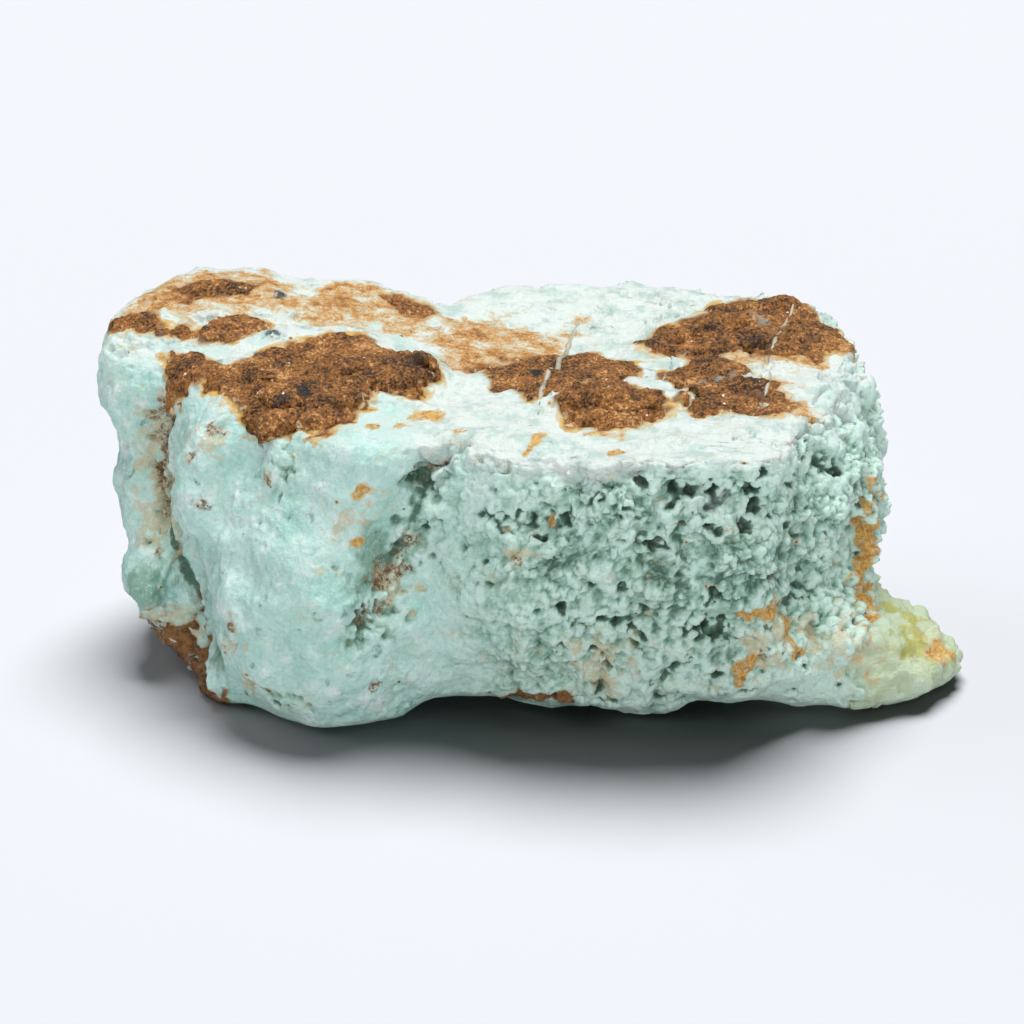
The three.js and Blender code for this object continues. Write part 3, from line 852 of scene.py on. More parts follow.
        # Painted shade: gap rises off the grains' domes and beads and in the painted-shade marks, so the
        # gaps between grains are painted dark; clump and broad only vary it at random.
        self.gap = 0.35 + 0.25 * (1.0 - dome) + 0.2 * (0.5 - bead)
        self.gap += 0.3 * shaded - 0.12 - 0.35 * clump - 0.5 * broad
        self.gap *= np.minimum(1.0, self.knobby)
        self.gap += 0.9 * shaded * self.zones.lobed
        relief = self.dome * dome + self.proud * proud * dome + 0.2 * bead
        relief += 0.5 * lumps(points, 1.7, 43, 3) - 0.35
        relief = np.minimum(relief + 0.85 * clump + broad, self.highest)
        return self.knobby * relief - hole * (self.deepest - dome * self.knobby)

    def _holes(self) -> np.ndarray:
        """The holes between the clumps of grains, and the pits.

        Returns:
            How much of each point is hole, mostly from 0 to 1.
        """
        zones = self.zones
        closed = 0.42 + 0.12 * (1.0 - zones.grainy)
        ground = lumps(self.points * (0.9, 1.0, 1.1), self.opening, 18, 3)
        hole = smoothstep(ground, closed, closed + 0.3)
        hole *= np.minimum(1.0, zones.grainy + 0.7 * zones.pitted + 1.2 * self.rough)
        broken = 0.8 + 0.9 * lumps(self.points, 1.3, 40, 2)
        for mark in PITS:
            share = mark.share(self.points, 1.6 * self.fray)
            hole = np.maximum(hole, 0.65 * mark.depth * share * broken)
        return hole

    def _lobes(self) -> np.ndarray:
        """The waxy lobes: broad soft swells and crests, small chips and pores.

        Returns:
            Height at each point, in millimetres.
        """
        points = self.points
        bent = self._bent(0.9, 3.4, 2)
        swell = lumps(points, self.swell, 6, 2)
        crest = (1.0 - np.abs(lumps(bent, 6.5, 7, 2))) ** 6
        _, _, centres = cells(bent, self.chip, 8)
        tilt = scattered(np.floor(centres * 8.0), 8) - 0.5
        chip = ((bent - centres) * tilt).sum(1)
        self.crest = crest * self.zones.lobed
        crease = (1.0 - np.abs(lumps(bent, 4.2, 42))) ** 8
        soft = 0.3 * lumps(points, 2.6, 45) + 0.16 * lumps(points, 1.2, 5, 2)
        pore = smoothstep(lumps(points, 1.6, 46, 2), 0.52, 0.8) * self.zones.lobed
        # Painted shade in the pores.
        self.pit = np.maximum(self.pit, 0.5 * pore)
        return 0.45 * swell + 0.12 * crest - 0.14 * crease + 0.05 * chip + soft - 0.3 * pore

    def _flakes(self) -> np.ndarray:
        """The upper face: thin flakes that step down one below another.

        Returns:
            Height at each point, in millimetres.
        """
        wander = lumps(self.points * (0.4, 1.0, 0.6), 4.2, 23, 3) * 5.0
        step = np.floor(wander)
        edge = smoothstep(wander - step, 0.6, 0.85)
        return self.flake * (step + edge) + 0.1 * lumps(self.points, 1.2, 24, 3)

    def carve(self, buried: np.ndarray) -> None:
        """Moves the mesh's points to the fine surface and keeps what the material reads.

        Args:
            buried: How much each point stays under the surface, from 0 to 1.
        """
        height = self.height - BURIED_DEPTH * buried
        moved = self.points + self.normals * height[:, None] + self.slide
        moved[:, 2] = np.maximum(moved[:, 2], 0.0)
        self.skin.move_to(moved)
        self._store()

    def _store(self) -> None:
        """Keeps on the mesh what its material reads."""
        points, zones = self.points, self.zones
        above = Limit.MARKED_RISE.share(points[:, 2])
        reach = crust_reach(points)
        stained = [patch.inside(points) + 2.2 * ragged_edge(points) for patch in STAINS]
        soft = 0.4 * self.fray
        torn = 1.6 * self.fray
        # gap and pit carry painted shade for the material, gap with some random tone too; crest makes
        # crests and ledge rims a little paler; the rest are the stone's own marks.
        shares = {
            "gap": self.gap,
            "pit": self.pit,
            "crest": self.crest,
            "chalk": zones.chalky,
            "grainy": np.minimum(1.0, zones.grainy + 0.35 * zones.pitted + 0.8 * self.rough),
            "foot": zones.foot,
            "crust": smoothstep(reach, -0.3, 0.3) * above,
            "fringe": smoothstep(reach, -1.9, 0.0) * above,
            "stain": smoothstep(np.max(stained, axis=0), -2.0, 1.6) * above,
            "rust": strongest(RUST_MARKS, points, torn),
            "earth": strongest(EARTH_MARKS, points, torn),
            "tan": strongest(TAN_MARKS, points, torn),
            "prase": strongest(PRASE_MARKS, points, self.fray) * zones.foot,
            "slate": strongest(SLATE_MARKS, points, torn) * above,
            "black": strongest(BLACK_MARKS, points, soft) * above,
            "limonite": self.limonite,
        }
        for name, values in shares.items():
            self.skin.store(name, values)


class Cover(Enum):
    """The two shells of round grains that cover the stone's right half, and the stone itself."""

    STONE = "raw_chrysoprase"
    FRONT = "round_grains"
    BACK = "round_grains_back"

    def share(self, zones: Zones, normals: np.ndarray) -> np.ndarray:
        """How surely each point of the surface belongs to that piece, from 0 to 1.

        Args:
            zones: The surface's zones.
            normals: Its broad normals.

        Returns:
            One number a point.
        """
        if self is Cover.STONE:
            return Limit.STONE_SHARE.share(zones.shelled)
        ahead = zones.shelled * Limit.FRONT_TILT.share(normals @ np.array(GRAINS_FACE))
        if self is Cover.FRONT:
            return Limit.SHELL_SHARE.share(ahead)
        return Limit.SHELL_SHARE.share(zones.shelled) * Limit.STONE_SHARE.share(ahead)


@dataclass
class StoneBody:
    """The stone itself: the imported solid's form with a fine surface.

    Attributes:
        voxel: Side of the even mesh that all of the stone gets, in millimetres.
        smoothing: Rounds of smoothing at each size of mesh, which take the solid's facets away.
        fine_end: Where the finest mesh ends and that of the grains takes over, in millimetres along X.
        front: Which way the side faces that is divided once.
        lobes_front: Which way the lobes' side faces, which is divided twice.
        steepest: How far down a divided face's normal may point.
    """

    voxel: float = 0.92
    smoothing: int = 2
    fine_end: float = 9.0
    front: tuple[float, float, float] = (0.05, -0.88, 0.47)
    lobes_front: tuple[float, float, float] = (-0.34, -0.94, 0.0)
    steepest: float = -0.6

    def build(self) -> tuple[bpy.types.Object, bpy.types.Mesh]:
        """Makes the stone's mesh and object.

        Returns:
            The finished object, without a material, and a copy of its mesh in its plain form.
        """
        mesh = self._refined(self._even_copy())
        mesh.name = "raw_chrysoprase"
        plain = mesh.copy()
        relief = Relief(Skin(mesh))
        relief.carve(1.0 - Cover.STONE.share(relief.zones, relief.normals))
        return new_piece(Cover.STONE.value, smooth_shaded(mesh)), plain

    def _even_copy(self) -> bpy.types.Mesh:
        """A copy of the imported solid, merged, rounded off and meshed evenly.

        Returns:
            The new mesh.
        """
        form = bmesh.new()
        form.from_mesh(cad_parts[CHUNK_NODE].data)
        bmesh.ops.remove_doubles(form, verts=form.verts, dist=0.01 * MM)
        bmesh.ops.recalc_face_normals(form, faces=form.faces)
        draft = new_piece("form", ended(form, "form"))
        rounded = draft.modifiers.new("Rounded facets", "SUBSURF")
        rounded.levels = rounded.render_levels = 1
        even = draft.modifiers.new("Even mesh", "REMESH")
        even.mode = "VOXEL"
        even.voxel_size = self.voxel * MM
        result = applied(draft)
        bpy.data.objects.remove(draft)
        return result

    def _refined(self, mesh: bpy.types.Mesh) -> bpy.types.Mesh:
        """Smooths the mesh, divides its faces once where they show, and again on the lobes.

        Args:
            mesh: The even mesh.

        Returns:
            The same mesh, refined.
        """
        form = bmesh.new()
        form.from_mesh(mesh)
        self._smooth(form)
        self._divide(form, self._facing(form.faces[:], self.front, 0.02))
        left = [face for face in form.faces if face.verts[0].co.x < self.fine_end * MM]
        self._divide(form, self._facing(left, self.lobes_front, 0.22))
        form.to_mesh(mesh)
        form.free()
        return mesh

    def _facing(
        self, faces: list[bmesh.types.BMFace], way: tuple[float, float, float], least: float
    ) -> list[bmesh.types.BMFace]:
        """The faces that face a way by at least so much, and don't face down."""
        ahead = Vector(way)
        return [face for face in faces if face.normal.dot(ahead) > least and face.normal.z > self.steepest]

    def _divide(self, form: bmesh.types.BMesh, faces: list[bmesh.types.BMFace]) -> None:
        """Cuts some faces into four and smooths the mesh again."""
        edges = list({edge for face in faces for edge in face.edges})
        bmesh.ops.subdivide_edges(form, edges=edges, cuts=1, use_grid_fill=True)
        self._smooth(form)

    def _smooth(self, form: bmesh.types.BMesh) -> None:
        """Evens out the mesh and brings its normals up to date."""
        for _ in range(self.smoothing):
            bmesh.ops.smooth_vert(form, verts=form.verts, factor=0.5)
        form.normal_update()


@dataclass
class RoundGrains:
    """The round grains on one side of the stone's right half, as a thin shell on the stone.

    Attributes:
        side: Which side.
        longest: The longest edge that isn't divided once more, in millimetres.
        cuts: How many times the longer edges are divided.
        least: How much of a point has to be the shell's for the shell to reach it, from 0 to 1.
        thickness: In millimetres.
    """

    side: Cover
    longest: float = 0.3
    cuts: int = 1
    least: float = 0.03
    thickness: float = 1.3

    def build(self, plain: bpy.types.Mesh) -> bpy.types.Object:
        """Makes the grains from the stone's plain form.

        Args:
            plain: The stone's mesh without its relief.

        Returns:
            The finished object, without a material.
        """
        skin = Skin(plain)
        normals = skin.broad_normals(4)
        cover = skin.averaged(self.side.share(Zones.of(skin.points, normals), normals), 1)
        form = trimmed(plain, cover >= self.least)
        for _ in range(self.cuts):
            coarse = [edge for edge in form.edges if edge.calc_length() > self.longest * MM]
            bmesh.ops.subdivide_edges(form, edges=coarse, cuts=1, use_grid_fill=True)
        mesh = ended(form, self.side.value)
        relief = Relief(Skin(mesh))
        relief.carve(1.0 - self.side.share(relief.zones, relief.normals))
        closed_shell(mesh, relief.normals * -self.thickness)
        return new_piece(self.side.value, smooth_shaded(mesh))


@dataclass
class LimoniteCrust:
    """The brown earthy crust in patches on the upper face, as a thin shell sunk in the stone.

    Attributes:
        margin: How far the shell goes on beyond its outline, under the stone, in millimetres.
        sunk: How deep its rim lies, in millimetres.
        thickness: In millimetres.
        crumb: Width of its crumbs, in millimetres.
        mound: Width of its low mounds, in millimetres.
        shade: Depth below the mean of what lies round it at which the painted shade of a hollow is darkest,
            in millimetres.
    """

    margin: float = 0.6
    sunk: float = 0.35
    thickness: float = 0.9
    crumb: float = 0.6
    mound: float = 3.4
    shade: float = 0.25

    def build(self, stone: bpy.types.Object) -> bpy.types.Object:
        """Makes the crust from the stone's own upper face.

        Args:
            stone: The finished stone.

        Returns:
            The finished object, without a material.
        """
        form = trimmed(stone.data, crust_reach(Skin(stone.data).points) >= -self.margin)
        bmesh.ops.subdivide_edges(form, edges=form.edges, cuts=1, use_grid_fill=True)
        mesh = ended(form, "limonite_crust")
        # The marks that the stone keeps for its own material don't belong on the crust.
        for attribute in list(mesh.attributes):
            if attribute.domain == "POINT" and attribute.name != "position":
                mesh.attributes.remove(attribute)
        skin = Skin(mesh)
        self._sculpt(skin)
        closed_shell(mesh, np.full((skin.count, 3), (0.0, 0.0, -self.thickness)))
        return new_piece("limonite_crust", smooth_shaded(mesh))

    def _sculpt(self, skin: Skin) -> None:
        """Raises the patches with a crumbly surface and keeps what the material reads.

        Args:
            skin: The crust's upper side as arrays.
        """
        points = skin.points
        normals = skin.broad_normals(6)
        reach = crust_reach(points) + 0.25 * lumps(points, 0.7, 25, 2)
        raised = np.zeros(skin.count)
        for patch in CRUSTS:
            raised = np.maximum(raised, patch.height * smoothstep(patch.inside(points), -1.5, 1.5))
        fray = lumps(points, 1.4, 26, 2)
        for mark in CRUST_LUMPS:
            raised -= mark.depth * mark.share(points, fray)
        near, _, _ = cells(points + 0.2 * lumps(points, 0.8, 27)[:, None], self.crumb, 28)
        crumb = np.clip(1.0 - (near / 0.7) ** 2, 0.0, 1.0)
        rough = 0.1 * crumb + 0.05 * lumps(points, 0.7, 29, 2) + 0.16 * lumps(points, 1.5, 31)
        rough += 0.5 * lumps(points * (0.7, 1.0, 1.0), self.mound, 30, 2)
        rough *= smoothstep(reach, -0.2, 1.4) * 0.85 + 0.15
        thick = np.maximum(raised + rough, 0.0) + 0.05 + self.sunk
        height = smoothstep(reach, -0.35, 0.3) * thick - self.sunk
        skin.move_to(points + normals * height[:, None])
        # Painted shade: how far each point lies below what lies round it, which the crust's material paints
        # darker.
        skin.store("hollow", np.clip((skin.averaged(height, 20) - height) / self.shade, -1.0, 1.0))
        skin.store("black", strongest(BLACK_MARKS, points, 0.6 * fray))
        skin.store("slate", strongest(SLATE_MARKS, points, 0.6 * fray))
        skin.store("edge", smoothstep(reach, 1.6, -0.2))


@dataclass
class QuartzVeinlets:
    """Two thin milky veinlets that stand a little proud across the upper face.

    Attributes:
        step: Distance between the sections of a veinlet, in millimetres.
        sides: Points round a section.
        flatness: Height of a section by its width.
        sunk: How deep its middle lies below the face, in millimetres.
        wander: How far it strays from its route, in millimetres.
        taper: Length of its thinner ends, in millimetres.
        thinnest: Half width that it keeps everywhere, in millimetres.
        above: Height above everything, from which the face below is sounded, in millimetres.
        level: Height of the face where nothing is met, in millimetres.
    """

    step: float = 0.35
    sides: int = 8
    flatness: float = 0.8
    sunk: float = 0.08
    wander: float = 0.2
    taper: float = 4.0
    thinnest: float = 0.08
    above: float = 40.0
    level: float = 30.0

    def build(self, ground: list[bpy.types.Object]) -> bpy.types.Object:
        """Makes the veinlets on what lies under them.

        Args:
            ground: The pieces that they lie on.

        Returns:
            The finished object, without a material.
        """
        graph = bpy.context.evaluated_depsgraph_get()
        trees = [BVHTree.FromObject(piece, graph) for piece in ground]
        form = bmesh.new()
        for veinlet in VEINLETS:
            self._sweep(form, self._laid(veinlet, trees), veinlet.half_width)
        bmesh.ops.remove_doubles(form, verts=form.verts, dist=0.002 * MM)
        bmesh.ops.recalc_face_normals(form, faces=form.faces)
        return new_piece("quartz_veinlets", smooth_shaded(ended(form, "quartz_veinlets")))

    def _laid(self, veinlet: Mark, trees: list[BVHTree]) -> np.ndarray:
        """The middle line of a veinlet, laid on the pieces below it.

        Args:
            veinlet: Its route seen from above.
            trees: The pieces that it lies on.

        Returns:
            Points in millimetres, one a row.
        """
        stops = np.array(veinlet.path)
        along = np.concatenate([[0.0], np.cumsum(np.linalg.norm(np.diff(stops, axis=0), axis=1))])
        places = np.arange(0.0, along[-1], self.step)
        line = np.stack([np.interp(places, along, column) for column in stops.T], 1)
        line[:, 0] += self.wander * lumps(line, 3.0, 33, 3)
        for place in line:
            start = Vector((place[0], place[1], self.above)) * MM
            hits = [tree.ray_cast(start, Vector((0, 0, -1)))[0] for tree in trees]
            place[2] = max((hit.z / MM for hit in hits if hit), default=self.level)
        height = np.convolve(np.pad(line[:, 2], 2, mode="edge"), np.full(5, 0.2), mode="valid")
        line[:, 2] = height - self.sunk
        return line

    def _sweep(self, form: bmesh.types.BMesh, line: np.ndarray, half_width: float) -> None:
        """Sweeps an uneven section along a line and closes it at both ends.

        Args:
            form: The mesh that it is added to.
            line: The line's points in millimetres, one a row.
            half_width: Of the widest section, in millimetres.
        """
        count = len(line)
        ends = np.minimum(np.arange(count), np.arange(count)[::-1]) * self.step
        widths = half_width * smoothstep(ends, -0.2, self.taper) * (0.8 + 0.35 * lumps(line, 1.8, 34, 2))
        widths = np.maximum(widths, self.thinnest)
        ring = bmesh.ops.create_circle(form, cap_ends=True, segments=self.sides, radius=MM)["verts"]
        bmesh.ops.rotate(form, verts=ring, matrix=Matrix.Rotation(math.pi / 2, 3, "X"))
        bmesh.ops.scale(form, verts=ring, vec=(widths[0], 1.0, widths[0] * self.flatness))
        bmesh.ops.translate(form, verts=ring, vec=Vector(line[0]) * MM)
        edges = list({edge for vert in ring for edge in vert.link_edges})
        for number in range(1, count):
            grown = bmesh.ops.extrude_edge_only(form, edges=edges)["geom"]
            ring = [item for item in grown if isinstance(item, bmesh.types.BMVert)]
            edges = [item for item in grown if isinstance(item, bmesh.types.BMEdge)]
            wider = widths[number] / widths[number - 1]
            middle = Matrix.Translation(-Vector(line[number - 1]) * MM)
            bmesh.ops.scale(form, verts=ring, vec=(wider, 1.0, wider), space=middle)
            bmesh.ops.translate(form, verts=ring, vec=Vector(line[number] - line[number - 1]) * MM)
        bmesh.ops.contextual_create(form, geom=edges)


# ---- Finishes ----


def linear(code: str) -> tuple[float, float, float, float]:
    """Turns an sRGB hex code, such as "#a6c6bb", into linear red, green and blue, and full opacity."""
    parts = [int(code[i : i + 2], 16) / 255 for i in (1, 3, 5)]
    return (*[p / 12.92 if p <= 0.04045 else ((p + 0.055) / 1.055) ** 2.4 for p in parts], 1.0)


def add_node(
    tree: bpy.types.NodeTree, kind: str, links: dict | None = None, **settings: str
) -> bpy.types.Node:
    """Adds a node with its settings and links.

    Args:
        tree: The node tree.
        kind: The node's type name.
        links: Input name or number to the socket that feeds it, or to a plain value.
        **settings: The node's own properties.

    Returns:
        The node.
    """
    node = tree.nodes.new(kind)
    for name, value in settings.items():
        setattr(node, name, value)
    for key, source in (links or {}).items():
        if isinstance(source, Socket):
            tree.links.new(source, node.inputs[key])
        else:
            node.inputs[key].default_value = source
    return node


class Palette:
    """A material's node tree, with the few patterns that the stone's finishes share."""

    def __init__(self, name: str) -> None:
        """Starts an empty material.

        Args:
            name: The material's name.
        """
        self.material = bpy.data.materials.new(name)
        self.material.use_nodes = True
        self.tree = self.material.node_tree
        self.tree.nodes.clear()
        places = add_node(self.tree, "ShaderNodeTexCoord").outputs["Object"]
        millimetres = {"Vector": places, "Scale": (1 / MM,) * 3}
        self.places = add_node(self.tree, "ShaderNodeMapping", millimetres).outputs["Vector"]

    def kept(self, name: str) -> Socket:
        """The number that the mesh keeps at each point under that name."""
        return add_node(self.tree, "ShaderNodeAttribute", attribute_name=name).outputs["Fac"]

    def clouds(
        self,
        width: float,
        detail: float = 4.0,
        rough: float = 0.6,
        drawn: tuple[float, float, float] = (1.0, 1.0, 1.0),
        warp: float = 0.0,
    ) -> Socket:
        """Noise, about 0.3 to 0.7.

        Args:
            width: Width of its largest features, in millimetres.
            detail: How many finer layers it has.
            rough: How strong each finer layer is.
            drawn: How far it is drawn out along each axis.
            warp: How much it swirls.

        Returns:
            The socket.
        """
        squeeze = {"Vector": self.places, "Scale": tuple(1 / (width * share) for share in drawn)}
        at = add_node(self.tree, "ShaderNodeMapping", squeeze).outputs["Vector"]
        links = {"Vector": at, "Scale": 1.0, "Detail": detail, "Roughness": rough, "Distortion": warp}
        return add_node(self.tree, "ShaderNodeTexNoise", links).outputs["Fac"]

    def sums(self, kind: str, *terms: Socket | float) -> Socket:
        """One sum on up to three numbers."""
        return add_node(self.tree, "ShaderNodeMath", dict(enumerate(terms)), operation=kind).outputs[0]

    def ramp(self, value: Socket, low: float, high: float) -> Socket:
        """The value from 0 at low to 1 at high."""
        links = {"Value": value, "From Min": low, "From Max": high}
        return add_node(self.tree, "ShaderNodeMapRange", links, interpolation_type="SMOOTHSTEP").outputs[0]

    def mixed(self, share: Socket, first: Paint, second: Paint) -> Socket:
        """Mixes two colours.

        Args:
            share: Socket that is 0 where the first shows and 1 where the second does.
            first: A colour's socket or sRGB hex code.
            second: Another.

        Returns:
            The mixed colour.
        """
        first, second = (linear(paint) if isinstance(paint, str) else paint for paint in (first, second))
        links = {0: share, 6: first, 7: second}
        return add_node(self.tree, "ShaderNodeMix", links, data_type="RGBA").outputs[2]

    def stepped(self, value: Socket, under: Paint, *steps: tuple[float, float, Paint]) -> Socket:
        """Lays colours one over another as a value rises.

        Args:
            value: The value.
            under: The lowest colour.
            *steps: Where the value starts and ends to bring in a colour, and that colour.

        Returns:
            The colour of all of them.
        """
        for low, high, top in steps:
            under = self.mixed(self.ramp(value, low, high), under, top)
        return under

    def uneven(self, name: str, by: float, *noise: float) -> Socket:
        """A number that the mesh keeps, plus noise by so much; the rest is what clouds takes."""
        return self.sums("MULTIPLY_ADD", self.clouds(*noise), by, self.kept(name))

    def _scatter(self, spacing: float) -> tuple[Socket, Socket]:
        """A random number from 0 to 1 for each cell that wide in millimetres, and the way to its middle."""
        links = {"Vector": self.places, "Scale": 1 / spacing}
        node = add_node(self.tree, "ShaderNodeTexVoronoi", links)
        lot = add_node(self.tree, "ShaderNodeSeparateColor", {"Color": node.outputs["Color"]})
        return lot.outputs[0], node.outputs["Distance"]

    def specked(self, under: Socket, top: Paint, spacing: float, size: float, share: float) -> Socket:
        """Lays small round specks over a colour.

        Args:
            under: The colour below.
            top: The specks' colour.
            spacing: Distance between the places where one may be, in millimetres.
            size: Radius of the largest, in millimetres.
            share: Share of the places that have one.

        Returns:
            The colour with them.
        """
        lot, away = self._scatter(spacing)
        near = self.ramp(away, size / spacing, 0.4 * size / spacing)
        speck = self.sums("MULTIPLY", near, self.sums("LESS_THAN", lot, share))
        return self.mixed(speck, under, top)

    def grit(self, width: float) -> Socket:
        """A random number from 0 to 1 for each grain of that width in millimetres."""
        return self._scatter(width)[0]

    def blotted(
        self, under: Socket, top: Paint, name: str, width: float, fill: float, share: float = 1.0
    ) -> Socket:
        """Lays a colour over another in soft uneven blots, where a mark is that the mesh keeps.

        Args:
            under: The colour below.
            top: The blots' colour.
            name: The mark's name.
            width: Width of the largest blots, in millimetres.
            fill: How full its middle is.
            share: How much of the colour below a blot hides.

        Returns:
            The colour with them.
        """
        contrast = 6.5
        uneven = self.sums("MULTIPLY_ADD", self.clouds(width, 7.0, 0.85), contrast, fill - contrast / 2)
        blot = self.ramp(self.sums("MULTIPLY", uneven, self.kept(name)), 0.1, 0.9)
        return self.mixed(blot if share == 1.0 else self.sums("MULTIPLY", blot, share), under, top)

    def finish(self, colour: Socket, height: Socket, depth: float, **values: float) -> bpy.types.Material:
        """Adds the shader.

        Args:
            colour: Socket with the surface's colour.
            height: Socket with the finest relief.
            depth: How deep that relief is, in millimetres.
            **values: Shader inputs with one value all over.

        Returns:
            The finished material.
        """
        relief = {"Height": height, "Strength": 1.0, "Distance": depth * MM}
        bump = add_node(self.tree, "ShaderNodeBump", relief)
        links = {"Base Color": colour, "Normal": bump.outputs["Normal"]}
        links |= {name.replace("_", " "): value for name, value in values.items()}
        shader = add_node(self.tree, "ShaderNodeBsdfPrincipled", links)
        add_node(self.tree, "ShaderNodeOutputMaterial", {"Surface": shader.outputs["BSDF"]})
        return self.material


@dataclass(frozen=True)
class ChrysopraseFinish:
    """Chrysoprase, nickel-green chalcedony, broken rough: waxy where fresh, chalky where weathered."""

    green: str = "#c0ddd4"
    deep: str = "#a3d0c4"
    pale: str = "#dceae5"
    lip: str = "#c1d6ce"
    # grain_light is the grains' tops; grain_green and gap are painted shade on the way down into the gaps
    # between grains; hollow is the painted shade of the lobes' hollows and also the dim sugary grain; pit
    # is the painted shade of pits and holes.
    grain_light: str = "#c5e1d4"
    grain_green: str = "#8fb5a3"
    hollow: str = "#7ca592"
    gap: str = "#4f7260"
    pit: str = "#3a4f43"
    chalk: str = "#d1dad3"
    mint_chalk: str = "#b2c8bf"
    slate: str = "#77908f"
    cream: str = "#c4b793"
    ochre: str = "#cda24a"
    gold: str = "#bf8531"
    rust: str = "#a8732b"
    brown: str = "#754c28"
    soil: str = "#584026"
    limonite: str = "#b17d48"
    black: str = "#2b2f33"
    prase: str = "#a9a85c"
    pale_prase: str = "#b4c2a0"

    def material(self) -> bpy.types.Material:
        """The material, which reads the attributes that the stone's mesh keeps."""
        make = Palette("Chrysoprase, broken rough")
        colour = self._pitted(make, self._sugared(make, self._fresh(make)))
        colour = self._limonite(make, self._marks(make, self._chalk(make, colour)))
        rough = make.sums("MULTIPLY_ADD", make.kept("limonite"), 4.0, 1.0)
        relief = make.sums("MULTIPLY", make.clouds(0.6, 5.0, 0.75), rough)
        relief = make.sums("ADD", relief, make.clouds(1.2, 3.0))
        return make.finish(colour, relief, 0.22, Roughness=0.62, IOR=1.54)

    def _fresh(self, make: Palette) -> Socket:
        """The colour of fresh stone, waxy lobes on the left and round grains on the right, with painted
        shade in their hollows and gaps.
        """
        fresh = make.ramp(make.clouds(4.5, 7.0, 0.68), 0.32, 0.68)
        lobes = make.mixed(fresh, self.deep, self.green)
        pale = make.sums("MULTIPLY_ADD", make.kept("crest"), 0.12, make.clouds(2.2, 6.0, 0.68))
        lobes = make.stepped(pale, lobes, (0.52, 0.8, self.pale))
        # Painted shade: the higher gap is, the darker and greener the lobes and grains are painted.
        gap = make.uneven("gap", 0.6, 0.7, 3.0)
        lobes = make.stepped(gap, lobes, (0.4, 1.3, self.hollow))
        grains = make.stepped(gap, self.grain_light, (0.35, 1.05, self.grain_green), (0.9, 1.6, self.gap))
        return make.stepped(make.kept("grainy"), lobes, (0.0, 0.75, grains))

    def _sugared(self, make: Palette, colour: Socket) -> Socket:
        """Adds a fine sugary grain, and the yellow-green prase of the foot."""
        sugar = make.clouds(0.5, 3.0, 0.8)
        light = make.sums("MULTIPLY", make.ramp(sugar, 0.53, 0.66), 0.4)
        dim = make.sums("MULTIPLY", make.ramp(sugar, 0.46, 0.34), 0.3)
        colour = make.mixed(dim, make.mixed(light, colour, self.pale), self.hollow)
        colour = make.mixed(make.kept("foot"), colour, self.pale_prase)
        return make.stepped(make.uneven("prase", 1.6, 2.6, 6.0, 0.75), colour, (0.9, 1.7, self.prase))

    def _pitted(self, make: Palette, colour: Socket) -> Socket:
        """Painted shade: darkens the pits, holes, crevices and the deepest gaps."""
        grit = make.sums("MULTIPLY", make.kept("gap"), make.kept("grainy"))
        pit = make.sums("MULTIPLY_ADD", grit, 0.35, make.kept("pit"))
        pit = make.sums("ADD", pit, make.sums("MULTIPLY_ADD", make.clouds(0.6, 3.0), 0.6, -0.3))
        return make.stepped(pit, colour, (0.3, 0.75, self.gap), (0.75, 1.4, self.pit))

    def _chalk(self, make: Palette, colour: Socket) -> Socket:
        """Adds the weathered white skin of the upper face, with grey streaks."""
        mint = make.ramp(make.clouds(2.4, 5.0, 0.65), 0.36, 0.52)
        white = make.mixed(mint, self.mint_chalk, self.chalk)
        streak = make.clouds(0.8, 4.0, 0.6, (7.0, 1.0, 2.0), 0.6)
        white = make.stepped(streak, white, (0.6, 0.75, self.slate))
        share = make.uneven("chalk", 0.8, 1.6, 5.0)
        colour = make.stepped(share, colour, (0.45, 0.9, self.lip), (1.0, 1.3, white))
        return make.blotted(colour, self.slate, "slate", 1.4, 0.3, 0.75)

    def _marks(self, make: Palette, colour: Socket) -> Socket:
        """Adds iron stains: cream and ochre blotches, rust and brown grains, black specks."""
        colour = make.blotted(colour, self.cream, "tan", 0.9, 0.8, 0.75)
        halo = make.uneven("fringe", 2.0, 2.4, 7.0, 0.8)
        colour = make.stepped(halo, colour, (1.55, 1.8, self.cream), (1.8, 2.05, self.ochre))
        uneven = make.sums("MULTIPLY_ADD", make.clouds(3.0, 10.0, 0.95, (1.5, 1.0, 1.0)), 4.0, -1.5)
        stain = make.sums("MULTIPLY_ADD", make.kept("stain"), 0.6, uneven)
        colour = make.stepped(stain, colour, (0.72, 0.95, self.cream), (0.95, 1.15, self.gold))
        colour = make.stepped(stain, colour, (1.2, 1.4, self.brown))
        grime = make.ramp(make.clouds(0.5, 4.0, 0.8), 0.44, 0.58)
        rust = make.mixed(grime, self.ochre, self.rust)
        earth = make.mixed(grime, self.brown, self.soil)
        colour = make.blotted(colour, self.cream, "rust", 0.8, 1.5)
        colour = make.blotted(colour, rust, "rust", 0.8, 0.85)
        colour = make.blotted(colour, self.cream, "earth", 1.2, 0.7, 0.4)
        colour = make.blotted(colour, earth, "earth", 0.7, 0.5)
        colour = make.blotted(colour, self.black, "black", 0.9, 0.8)
        colour = make.specked(colour, self.cream, 1.9, 0.42, 0.1)
        colour = make.specked(colour, earth, 1.9, 0.24, 0.12)
        return make.specked(colour, self.black, 2.6, 0.18, 0.3)

